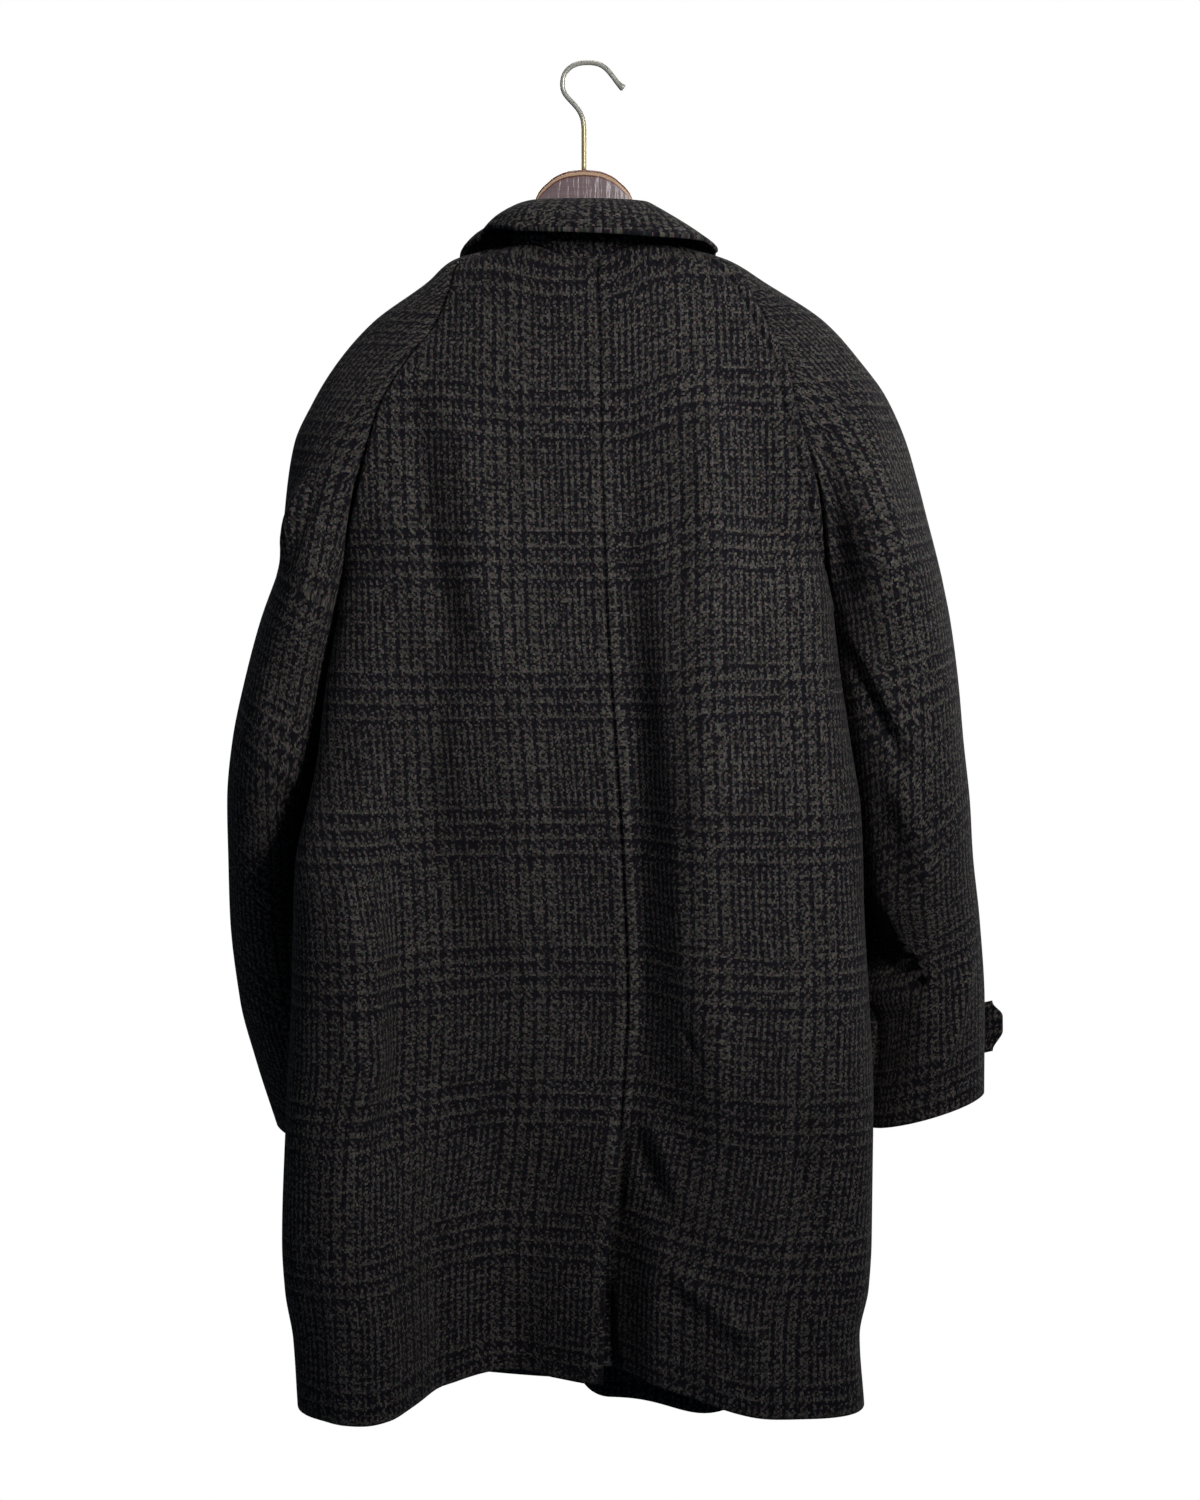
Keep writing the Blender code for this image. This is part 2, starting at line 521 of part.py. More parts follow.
fall_edge = neck + away * collar_size("out")
fall_edge[:, 2] = collar_size("edge_z")[:, 0]
fall_start = stand_top - away * COLLAR_CLOTH + up * SEAM_GAP
fall_turn = stand_top + away * 0.003 + up * SEAM_GAP
t = np.linspace(0, 1, FALL_ROWS - 1)[:, None, None]
bulge = collar_size("bulge") * np.sin(math.pi * t) * (away + up) / math.sqrt(2)
under = np.concatenate((fall_start[None], fall_turn + (fall_edge - fall_turn) * t + bulge))
lean = fall_edge - fall_turn
normal = up * np.sum(lean * away, axis=-1, keepdims=True) - away * lean[:, 2:3]
normal = normal / np.linalg.norm(normal, axis=-1, keepdims=True)
tilt = np.linspace(0, 1, FALL_ROWS)[:, None, None]
face_way = up * (1 - ease(0, 0.5, tilt)) + normal * ease(0, 0.5, tilt)
face_way = face_way / np.linalg.norm(face_way, axis=-1, keepdims=True)
wall("collar_fall", under + face_way * COLLAR_CLOTH, under, COLLAR_LOOK)

# Cuff straps lie on the front of each sleeve; the right one's end stands off past the outer edge
STRAP_CLOTH = 0.0035
STRAP = {
    "left": dict(top=-0.882, bottom=-0.928, begin=0.10, leave=0.80, beyond=0.004, gap=0.0014),
    "right": dict(top=-0.846, bottom=-0.892, begin=0.10, leave=0.62, beyond=0.051, gap=0.0006)}
STRAP_COLUMNS = 9
STRAP_POINT = 0.010
strap_faces = {}
for side in ("left", "right"):
    size = STRAP[side]
    outer_z = UNDERARM + smooth(RAGLAN, "ridge_rise", UNDERARM)
    heights = np.linspace(size["top"], size["bottom"], 4)
    rows = 1 + (heights - outer_z) / (CUFF[side] - outer_z)
    share = np.linspace(size["begin"], size["leave"], STRAP_COLUMNS - 1)
    lying = sleeve_arc(rows, side, "front", share)
    middle = 0.5 * (sleeve_arc(rows, side, "back", np.array([0.5])) +
                    sleeve_arc(rows, side, "front", np.array([0.5])))
    normal = grid_normals(lying)
    normal = normal * np.sign(np.sum(normal * (lying - middle)))
    way = lying[:, -1] - lying[:, -2]
    way = way / np.linalg.norm(way, axis=-1, keepdims=True)
    point = np.array([0.0, STRAP_POINT, STRAP_POINT, 0.0])[:, None]
    end = lying[:, -1] + way * (size["beyond"] + point)
    grid = np.concatenate((lying, end[:, None]), axis=1)
    normal = np.concatenate((normal, normal[:, -1:]), axis=1)
    face = grid + normal * (size["gap"] + STRAP_CLOTH)
    strap_faces[side] = (face, normal)
    wall("cuff_tab_" + side, face, grid + normal * size["gap"], CLOTH_LOOK)

# Buttons: plain discs standing on their cloth
BUTTON_SIDES = 20
BUTTON_SEAT = 0.0008


def button(name, seat, normal, radius, thick):
    """Disc with rounded rim, its foot on the seat and its axis along the normal."""
    normal = normal / np.linalg.norm(normal)
    side_way = np.cross(normal, up)
    side_way = side_way / np.linalg.norm(side_way)
    other = np.cross(normal, side_way)
    turn = np.linspace(0, 2 * math.pi, BUTTON_SIDES, endpoint=False)[:, None]
    circle = np.cos(turn) * side_way + np.sin(turn) * other
    profile = ((0.86, 0.0), (1.0, 0.35), (1.0, 0.70), (0.88, 1.0))
    rings = [seat + circle * radius * wide + normal * thick * high for wide, high in profile]
    vertices = np.concatenate(rings)
    faces = []
    for r in range(len(profile) - 1):
        for k in range(BUTTON_SIDES):
            n = (k + 1) % BUTTON_SIDES
            faces.append((r * BUTTON_SIDES + k, r * BUTTON_SIDES + n,
                          (r + 1) * BUTTON_SIDES + n, (r + 1) * BUTTON_SIDES + k))
    faces.append(tuple(reversed(range(BUTTON_SIDES))))
    faces.append(tuple((len(profile) - 1) * BUTTON_SIDES + k for k in range(BUTTON_SIDES)))
    return add_object(name, vertices, faces, BUTTON_LOOK)


FRONT_BUTTON = dict(radius=0.0125, thick=0.004, from_edge=0.040)
FRONT_BUTTON_LEVELS = (-0.245, -0.395, -0.545, -0.695)
CUFF_BUTTON = dict(radius=0.009, thick=0.0035)
shares = np.linspace(0, 1, 61)
fine, fine_out = front_panel("left", shares)
fine_way = grid_normals(fine)
fine_way = fine_way * np.sign(np.sum(fine_way * fine_out))
for i, level in enumerate(FRONT_BUTTON_LEVELS):
    r = int(np.argmin(np.abs(LEVELS - level)))
    run = np.concatenate(([0.0], np.cumsum(np.linalg.norm(np.diff(fine[r], axis=0), axis=1))))
    c = int(np.argmin(np.abs(run - FRONT_BUTTON["from_edge"])))
    seat = fine[r, c] + fine_way[r, c] * BUTTON_SEAT
    button("button_front_%d" % (i + 1), seat, fine_way[r, c], FRONT_BUTTON["radius"], FRONT_BUTTON["thick"])
for side in ("left", "right"):
    face, normal = strap_faces[side]
    way = normal[1, -4] + normal[2, -4]
    way = way / np.linalg.norm(way)
    seat = 0.5 * (face[1, -4] + face[2, -4]) + way * BUTTON_SEAT
    button("button_cuff_" + side, seat, way, CUFF_BUTTON["radius"], CUFF_BUTTON["thick"])

# Hanger: a wooden yoke whose arms run under the shoulder ridges, with a wire hook
HANGER_MIDDLE = -0.0053
HANGER_GAP = 0.0008
ARM_DIP = 0.003
YOKE = table(("out", "top"), (
    (0.000, -0.0911),
    (0.013, -0.0925),
    (0.024, -0.0965),
    (0.033, -0.1033),
    (0.0395, -0.1103),
    (0.0435, -0.1190),
    (0.0475, -0.1330),
    (0.0530, -0.1530),
    (0.0600, -0.1640)))
ARM_SHAPE = table(("out", "high", "thick"), (
    (0.000, 0.050, 0.018),
    (0.040, 0.044, 0.018),
    (0.060, 0.030, 0.016),
    (0.100, 0.030, 0.018),
    (0.160, 0.030, 0.026),
    (0.205, 0.026, 0.028),
    (0.222, 0.010, 0.014)))
HANGER_SECTIONS = 37
HANGER_SIDES = 12


def ridge_under(side, across):
    """Height of the inner face of the shoulder ridge above a place across the coat."""
    line = sleeve_arc(ROWS[:RAGLAN_ROWS + 1], side, "back", np.array([1.0]))[:, 0]
    slope = np.gradient(line[:, 2]) / np.gradient(line[:, 0])
    low = line[:, 2] - CLOTH * np.sqrt(1 + slope * slope)
    order = np.argsort(line[:, 0])
    return np.interp(across, line[order, 0], low[order])


stations = np.linspace(-1, 1, HANGER_SECTIONS)
reach = np.sign(stations) * ARM_SHAPE["out"][-1] * np.abs(stations) ** 1.15
rings = []
turn = np.linspace(0, 2 * math.pi, HANGER_SIDES, endpoint=False)
for off in reach:
    side = "right" if off >= 0 else "left"
    span = abs(off)
    across = HANGER_MIDDLE + off
    high = float(smooth(ARM_SHAPE, "high", span))
    thick = float(smooth(ARM_SHAPE, "thick", span))
    under_ridge = float(ridge_under(side, across)) - HANGER_GAP
    hump = float(smooth(YOKE, "top", span))
    blend = float(ease(0.054, 0.072, span))
    top = hump * (1 - blend) + (under_ridge - ARM_DIP * float(1 - ease(0.10, 0.15, span))) * blend
    top = top - 0.010 * float(ease(0.200, 0.222, span))
    mid = top - high / 2
    ring = np.stack((np.full_like(turn, across),
                     thick / 2 * np.sin(turn), mid + high / 2 * np.cos(turn)), axis=-1)
    rings.append(ring)


def tube(name, rings, look):
    """Closed body through a row of rings of points with flat ends."""
    sides = len(rings[0])
    vertices = np.concatenate(rings)
    faces = []
    for r in range(len(rings) - 1):
        for k in range(sides):
            n = (k + 1) % sides
            faces.append((r * sides + k, r * sides + n, (r + 1) * sides + n, (r + 1) * sides + k))
    faces.append(tuple(reversed(range(sides))))
    faces.append(tuple((len(rings) - 1) * sides + k for k in range(sides)))
    return add_object(name, vertices, faces, look)


tube("hanger_body", rings, WOOD_LOOK)

# Hook: wire from the top of the yoke, out to the left and over the rod to a thicker tip
HOOK = table(("run", "x", "z", "radius"), (
    (0.0, -0.0053, -0.0907, 0.0022),
    (1.0, -0.0053, -0.0520, 0.0022),
    (1.5, -0.0078, -0.0425, 0.0022),
    (2.0, -0.0130, -0.0350, 0.0022),
    (2.5, -0.0195, -0.0285, 0.0022),
    (3.0, -0.0243, -0.0205, 0.0022),
    (3.5, -0.0240, -0.0110, 0.0022),
    (4.0, -0.0185, -0.0025, 0.0022),
    (4.5, -0.0095, 0.0017, 0.0022),
    (5.0, 0.0000, 0.0022, 0.0022),
    (5.5, 0.0095, 0.0005, 0.0022),
    (6.0, 0.0175, -0.0065, 0.0022),
    (6.5, 0.0240, -0.0155, 0.0023),
    (7.0, 0.0285, -0.0195, 0.0032)))
HOOK_RINGS = 46
HOOK_SIDES = 10
run = np.linspace(HOOK["run"][0], HOOK["run"][-1], HOOK_RINGS)
line = np.stack((smooth(HOOK, "x", run), smooth(HOOK, "z", run)), axis=-1)
way = np.gradient(line, axis=0)
way = way / np.linalg.norm(way, axis=-1, keepdims=True)
radius = smooth(HOOK, "radius", run)
turn = np.linspace(0, 2 * math.pi, HOOK_SIDES, endpoint=False)
hook_rings = []
for centre, ahead, size in zip(line, way, radius):
    across = np.cos(turn) * size
    hook_rings.append(np.stack((centre[0] - ahead[1] * across, np.sin(turn) * size,
                                centre[1] + ahead[0] * across), axis=-1))
tube("hanger_hook", hook_rings, METAL_LOOK)
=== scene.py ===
"""A heavy raglan overcoat in a grey glen check, on a wooden hanger, with its back to the camera.

Each panel of cloth is worked out from the tables of its solid on a finer grid, and its creases are laid on
one by one. +X is the wearer's right, +Y the front of the coat and +Z up, in metres; the origin is the inside
top of the hook.
"""

import math

import bpy
import mathutils
import numpy as np
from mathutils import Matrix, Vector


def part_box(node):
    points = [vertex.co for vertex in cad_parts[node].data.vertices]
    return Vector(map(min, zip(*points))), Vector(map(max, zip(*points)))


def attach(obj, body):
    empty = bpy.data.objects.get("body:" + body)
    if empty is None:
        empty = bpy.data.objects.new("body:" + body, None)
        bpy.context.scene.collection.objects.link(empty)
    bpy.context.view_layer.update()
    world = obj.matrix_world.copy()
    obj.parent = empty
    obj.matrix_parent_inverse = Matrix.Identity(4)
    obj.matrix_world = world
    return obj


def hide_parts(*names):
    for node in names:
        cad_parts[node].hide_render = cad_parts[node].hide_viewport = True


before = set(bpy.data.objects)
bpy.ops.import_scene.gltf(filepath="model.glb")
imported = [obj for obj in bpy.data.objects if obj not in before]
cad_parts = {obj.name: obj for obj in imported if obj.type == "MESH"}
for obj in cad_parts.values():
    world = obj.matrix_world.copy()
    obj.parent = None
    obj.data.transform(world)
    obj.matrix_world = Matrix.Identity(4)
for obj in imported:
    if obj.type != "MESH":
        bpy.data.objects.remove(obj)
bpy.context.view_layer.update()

# Back panels
# The back is two panels of heavy napped wool, sewn together down the centre and felled to the sleeves with a
# welt. Below the seat the seam is left open as a vent: the left panel laps over a strip on the right one.
CLOTH = 0.003
SEAM_GAP = 0.0004
ROUND = 2.4
NECK = -0.170
UNDERARM = -0.478
HEM = -1.147
SIDE_INSET = 0.0008
ARC_STEPS = 600
CREASE_STEPS = 121


def table(names, rows):
    """A table as one array for each named column; the first column is the key."""
    return {name: np.array([row[i] for row in rows], dtype=float) for i, name in enumerate(names)}


def smooth(source, name, at):
    """Value of a column at the given keys, by a cubic between rows.

    Its slope at a row is the harmonic mean of the slopes to both sides, or zero where the column turns.
    """
    names = list(source)
    order = np.argsort(source[names[0]])
    key = source[names[0]][order]
    value = source[name][order]
    step = np.diff(key)
    slope = np.diff(value) / step
    before = slope[:-1]
    after = slope[1:]
    same = before * after > 0
    tangent = np.concatenate(([slope[0]], np.zeros(len(before)), [slope[-1]]))
    tangent[1:-1][same] = 2 * before[same] * after[same] / (before[same] + after[same])
    at = np.clip(np.asarray(at, dtype=float), key[0], key[-1])
    i = np.clip(np.searchsorted(key, at) - 1, 0, len(step) - 1)
    t = (at - key[i]) / step[i]
    start = value[i] * (1 + 2 * t) * (1 - t) ** 2 + value[i + 1] * t * t * (3 - 2 * t)
    return start + step[i] * (tangent[i] * t * (1 - t) ** 2 - tangent[i + 1] * t * t * (1 - t))


def ease(low, high, at):
    """Soft step 3t^2 - 2t^3 from 0 at the low value to 1 at the high value."""
    t = np.clip((at - low) / (high - low), 0, 1)
    return t * t * (3 - 2 * t)


# Body: centre-back seam, depth of back and front, squareness of the back's row, rise of the row at
# each side, fall of each front at its middle
BODY = table(("level", "seam", "back", "front", "square", "left_rise", "right_rise",
              "left_drop", "right_drop"), (
    (-0.170, 0.006, 0.046, 0.060, 2.4, 0.012, 0.012, -0.052, -0.052),
    (-0.188, 0.006, 0.055, 0.064, 2.4, 0.011, 0.011, -0.052, -0.052),
    (-0.205, 0.007, 0.062, 0.067, 2.4, 0.010, 0.010, -0.051, -0.051),
    (-0.238, 0.008, 0.071, 0.072, 2.4, 0.010, 0.010, -0.050, -0.050),
    (-0.307, 0.009, 0.081, 0.080, 2.6, 0.009, 0.009, -0.050, -0.050),
    (-0.380, 0.011, 0.086, 0.085, 3.0, 0.005, 0.005, -0.050, -0.050),
    (-0.478, 0.014, 0.089, 0.088, 3.6, 0.000, 0.000, -0.048, -0.050),
    (-0.614, 0.023, 0.089, 0.089, 4.4, -0.003, -0.003, -0.047, -0.051),
    (-0.700, 0.028, 0.087, 0.090, 5.0, -0.006, -0.005, -0.046, -0.053),
    (-0.814, 0.032, 0.084, 0.090, 5.6, -0.011, -0.009, -0.046, -0.055),
    (-0.927, 0.026, 0.081, 0.090, 6.0, -0.017, -0.016, -0.046, -0.058),
    (-1.051, 0.013, 0.078, 0.090, 6.0, -0.023, -0.024, -0.047, -0.062),
    (-1.147, 0.010, 0.077, 0.090, 6.0, -0.027, -0.032, -0.049, -0.065)))

# Side seams below the underarm
SIDES = table(("level", "left", "right"), (
    (-0.478, -0.2195, 0.2140),
    (-0.535, -0.2300, 0.2213),
    (-0.600, -0.2390, 0.2318),
    (-0.645, -0.2490, 0.2388),
    (-0.690, -0.2590, 0.2412),
    (-0.730, -0.2610, 0.2420),
    (-0.800, -0.2630, 0.2458),
    (-0.900, -0.2680, 0.2505),
    (-1.010, -0.2722, 0.2502),
    (-1.050, -0.2698, 0.2480),
    (-1.090, -0.2630, 0.2402),
    (-1.147, -0.2595, 0.2446)))

# Raglan part: seam and shoulder ridge, half depth of the arm and how far the seam has turned under it
RAGLAN = table(("level", "left_seam", "left_ridge", "right_seam", "right_ridge", "front_share",
                "half_depth", "turn", "ridge_rise", "front_rise"), (
    (-0.170, -0.0705, -0.0720, 0.0725, 0.0740, 0.95, 0.012, 30, 0.014, 0.010),
    (-0.188, -0.1180, -0.1225, 0.1190, 0.1240, 0.93, 0.026, 20, 0.017, 0.006),
    (-0.205, -0.1225, -0.1435, 0.1360, 0.1540, 0.93, 0.040, 20, 0.0155, 0.004),
    (-0.238, -0.1350, -0.1912, 0.1535, 0.2070, 0.94, 0.053, 20, 0.014, 0.002),
    (-0.270, -0.1600, -0.2210, 0.1695, 0.2372, 0.95, 0.062, 15, 0.013, 0.000),
    (-0.307, -0.1820, -0.2445, 0.1775, 0.2635, 0.96, 0.068, 6, 0.013, 0.000),
    (-0.345, -0.1942, -0.2612, 0.1885, 0.2795, 0.97, 0.072, -10, 0.015, 0.000),
    (-0.380, -0.2028, -0.2670, 0.1980, 0.2890, 0.98, 0.075, -29, 0.018, 0.000),
    (-0.420, -0.2108, -0.2707, 0.2040, 0.2985, 0.99, 0.077, -53, 0.022, 0.000),
    (-0.455, -0.2160, -0.2733, 0.2095, 0.3065, 1.00, 0.078, -75, 0.027, 0.000),
    (-0.478, -0.2205, -0.2778, 0.2150, 0.3115, 1.00, 0.078, -90, 0.030, 0.000)))

# Large folds of the back: how far each row stands out from its centre depth, at places from the seam (0)
# to the side (1)
FOLD_PLACES = {"left": (0.00, 0.17, 0.33, 0.50, 0.60, 0.67, 0.75, 0.83, 0.91, 1.00),
               "right": (0.00, 0.12, 0.25, 0.40, 0.60, 0.72, 0.86, 1.00)}
FOLDS = {
    "left": table(("level", "at_seam", "at_17", "at_33", "at_50", "at_60", "at_67", "at_75", "at_83",
                   "at_91", "side"), (
        (-0.380, 0.000, 0.000, 0.000, 0.000, 0.000, 0.000, 0.000, 0.000, 0.000, 0.000),
        (-0.478, 0.000, 0.000, 0.004, 0.009, 0.003, 0.001, 0.000, 0.003, 0.004, 0.004),
        (-0.612, 0.000, -0.002, 0.003, 0.001, -0.004, 0.000, 0.005, 0.012, 0.014, 0.014),
        (-0.735, 0.000, -0.004, 0.000, -0.008, -0.002, 0.004, 0.034, 0.050, 0.050, 0.050),
        (-0.850, 0.000, -0.004, -0.004, -0.002, 0.000, 0.004, 0.040, 0.052, 0.052, 0.052),
        (-0.963, 0.004, -0.002, -0.004, 0.000, 0.022, 0.040, 0.056, 0.062, 0.058, 0.056),
        (-1.081, 0.018, 0.012, 0.002, 0.004, 0.040, 0.066, 0.070, 0.070, 0.062, 0.060),
        (-1.147, 0.022, 0.015, 0.002, 0.004, 0.040, 0.066, 0.072, 0.072, 0.064, 0.060))),
    "right": table(("level", "at_seam", "at_12", "at_25", "at_40", "at_60", "at_72", "at_86", "side"), (
        (-0.380, 0.000, 0.000, 0.000, 0.000, 0.000, 0.000, 0.000, 0.000),
        (-0.478, 0.000, 0.006, 0.016, 0.019, 0.019, 0.017, 0.014, 0.012),
        (-0.612, 0.000, 0.010, 0.027, 0.030, 0.030, 0.028, 0.026, 0.024),
        (-0.735, 0.000, 0.012, 0.032, 0.034, 0.035, 0.034, 0.034, 0.030),
        (-0.850, 0.000, 0.010, 0.028, 0.045, 0.046, 0.046, 0.045, 0.042),
        (-0.963, 0.002, 0.006, 0.018, 0.030, 0.034, 0.028, 0.034, 0.034),
        (-1.081, -0.012, 0.000, 0.014, 0.028, 0.032, 0.027, 0.032, 0.032),
        (-1.147, -0.012, 0.000, 0.012, 0.022, 0.030, 0.030, 0.032, 0.032)))}

# Underlap of the vent: how far it reaches past the seam and lies behind the left panel
UNDERLAP = table(("level", "reach", "depth"), (
    (-0.170, 0.000, 0.000),
    (-0.925, 0.000, 0.000),
    (-0.955, 0.000, 0.0046),
    (-1.030, 0.045, 0.0050),
    (-1.147, 0.045, 0.0050)))

# Part of each back row over which it falls away to the side
SLOPE_SPAN = {"left": (0.30, 0.80), "right": (0.00, 0.66)}


def back_fold(level, side, place):
    """Height of the large folds: the table gives each row its heights, then a cubic runs along the row."""
    source = FOLDS[side]
    heights = np.stack([smooth(source, name, level) for name in list(source)[1:]], axis=-1)
    rows = [table(("place", "height"), list(zip(FOLD_PLACES[side], row))) for row in heights]
    return np.stack([smooth(row, "height", at) for row, at in zip(rows, place)])


def body_edge(level, side, face):
    """Where the body's row ends: the side seam, or the raglan seam above the underarm."""
    upper = level > UNDERARM
    turn = np.radians(smooth(RAGLAN, "turn", level))
    across = np.where(upper, smooth(RAGLAN, side + "_seam", level), smooth(SIDES, side, level))
    across = np.where(upper & (face == "front"), across * smooth(RAGLAN, "front_share", level), across)
    depth = np.where(upper, smooth(RAGLAN, "half_depth", level) * np.cos(turn), 0.0)
    depth = np.where(np.abs(level - UNDERARM) < 1e-6, 0.0, depth)
    if face == "front":
        rise = np.where(upper, smooth(RAGLAN, "front_rise", level), smooth(BODY, side + "_rise", level))
    else:
        rise = smooth(BODY, side + "_rise", level)
    inset = np.where(upper, 0.0, SIDE_INSET * np.sign(across))
    return across - inset, depth, rise


def body_arc(level, side, face, start, share):
    """Rows of a body panel: superellipse arcs from a start across the centre to the seam at the side.

    The back's arcs also stand out by the large folds, which die away at the side. The share runs from
    0 to 1 along each arc by its length. Returns points and outward directions.
    """
    level = np.asarray(level, dtype=float)[:, None]
    middle = smooth(BODY, "seam", level) if face == "back" else np.zeros_like(level)
    power = smooth(BODY, "square", level) if face == "back" else np.full_like(level, ROUND)
    edge, edge_depth, rise = body_edge(level, side, face)
    deep = smooth(BODY, face, level)
    ratio = np.clip(edge_depth / deep, 0, 0.999)
    half = np.abs(edge - middle) / (1 - ratio ** power) ** (1 / power)
    sign = 1.0 if side == "right" else -1.0
    first = (np.asarray(start, dtype=float)[:, None] - middle) * sign / half
    last = np.clip(np.abs(edge - middle) / half, 0, 1)
    begin = 1 - (1 - first) ** (1 / power)
    end = 1 - (1 - last) ** (1 / power)
    step = begin + (end - begin) * np.linspace(0, 1, ARC_STEPS)[None, :]
    ux = 1 - (1 - step) ** power
    uy = np.clip(1 - np.abs(ux) ** power, 0, 1) ** (1 / power)
    place = ux / last
    depth = uy * deep
    if face == "back":
        depth = depth + back_fold(level[:, 0], side, place) * (uy - ratio) / (1 - ratio)
    length = np.concatenate((np.zeros_like(level),
                             np.cumsum(np.hypot(np.diff(ux) * half, np.diff(depth)), axis=1)), axis=1)
    share = np.broadcast_to(np.asarray(share, dtype=float), (len(level), np.shape(share)[-1]))
    pick_x = np.stack([np.interp(s * w[-1], w, u) for s, w, u in zip(share, length, ux)])
    pick_y = np.stack([np.interp(s * w[-1], w, u) for s, w, u in zip(share, length, uy)])
    pick_depth = np.stack([np.interp(s * w[-1], w, u) for s, w, u in zip(share, length, depth)])
    face_sign = -1.0 if face == "back" else 1.0
    out_x = sign * np.sign(pick_x) * np.abs(pick_x) ** (power - 1) / half
    out_y = face_sign * pick_y ** (power - 1) / deep
    size = np.hypot(out_x, out_y)
    place = np.clip(np.abs(pick_x) / last, 0, 1)
    if face == "back":
        z = level + rise * ease(*SLOPE_SPAN[side], place)
    else:
        drop = smooth(BODY, side + "_drop", level)
        z = level + drop + (rise - drop) * ease(0, 1, place)
    points = np.stack((middle + sign * pick_x * half, face_sign * pick_depth, z), axis=-1)
    outward = np.stack((out_x / size, out_y / size, np.zeros_like(z)), axis=-1)
    return points, outward


def raglan_levels(count):
    """Levels of the rows that body and sleeves share, closer together at the neck and the underarm.

    The share of the way down is 0.45 t + 0.55 (3t^2 - 2t^3).
    """
    t = np.linspace(0, 1, count)
    return NECK + (UNDERARM - NECK) * (0.45 * t + 0.55 * t * t * (3 - 2 * t))


def spread(count):
    """Shares from 0 to 1 that crowd towards both ends: t - 0.7 sin(2 pi t) / (2 pi)."""
    t = np.linspace(0, 1, count)
    return t - 0.7 * np.sin(2 * math.pi * t) / (2 * math.pi)


def grid_normals(grid, outward):
    """Unit normals of a grid of points, across its rows and columns, turned to the outward side."""
    normal = np.cross(np.gradient(grid, axis=1), np.gradient(grid, axis=0))
    normal = normal * np.sign(np.sum(normal * outward))
    return normal / np.linalg.norm(normal, axis=-1, keepdims=True)


def run_along(grid):
    """Length along each row of a grid from its first point."""
    step = np.linalg.norm(np.diff(grid, axis=1), axis=-1)
    return np.concatenate((np.zeros((len(grid), 1)), np.cumsum(step, axis=1)), axis=1)


def crease_height(points, creases):
    """Height of listed creases at each point of a grid, in the plane of x and z.

    A crease is a bent line through three places. Its height dies away beside the line as
    exp(-(distance / half width)^2), fades out over 0.3 of the line at each end and swells by a quarter, as a
    sine, on its way.
    """
    total = np.zeros(points.shape[:2])
    t = np.linspace(0, 1, CREASE_STEPS)
    for x0, z0, x1, z1, x2, z2, half_width, height in creases:
        line_x = x0 * (1 - t) * (1 - 2 * t) + 4 * x1 * t * (1 - t) + x2 * t * (2 * t - 1)
        line_z = z0 * (1 - t) * (1 - 2 * t) + 4 * z1 * t * (1 - t) + z2 * t * (2 * t - 1)
        gap = np.hypot(points[..., 0, None] - line_x, points[..., 2, None] - line_z)
        nearest = np.argmin(gap, axis=-1)
        close = np.take_along_axis(gap, nearest[..., None], axis=-1)[..., 0]
        strength = ease(0, 0.3, t) * ease(1, 0.7, t) * (1 + 0.25 * np.sin(9 * t + 60 * x1))
        total += height * np.exp(-(close / half_width) ** 2) * strength[nearest]
    return total


def add_piece(name, vertices, faces, look, place):
    """Object at the origin from points and four-cornered faces; place is each point's spot in the weave."""
    mesh = bpy.data.meshes.new(name)
    mesh.vertices.add(len(vertices))
    mesh.vertices.foreach_set("co", vertices.astype(np.float32).ravel())
    mesh.loops.add(faces.size)
    mesh.loops.foreach_set("vertex_index", faces.astype(np.int32).ravel())
    mesh.polygons.add(len(faces))
    mesh.polygons.foreach_set("loop_start", np.arange(0, faces.size, 4, dtype=np.int32))
    mesh.polygons.foreach_set("use_smooth", np.ones(len(faces), dtype=bool))
    mesh.update(calc_edges=True)
    layer = mesh.uv_layers.new(name="place")
    layer.data.foreach_set("uv", place.astype(np.float32)[faces.ravel()].ravel())
    mesh.materials.append(look)
    made = bpy.data.objects.new(name, mesh)
    bpy.context.scene.collection.objects.link(made)
    return made


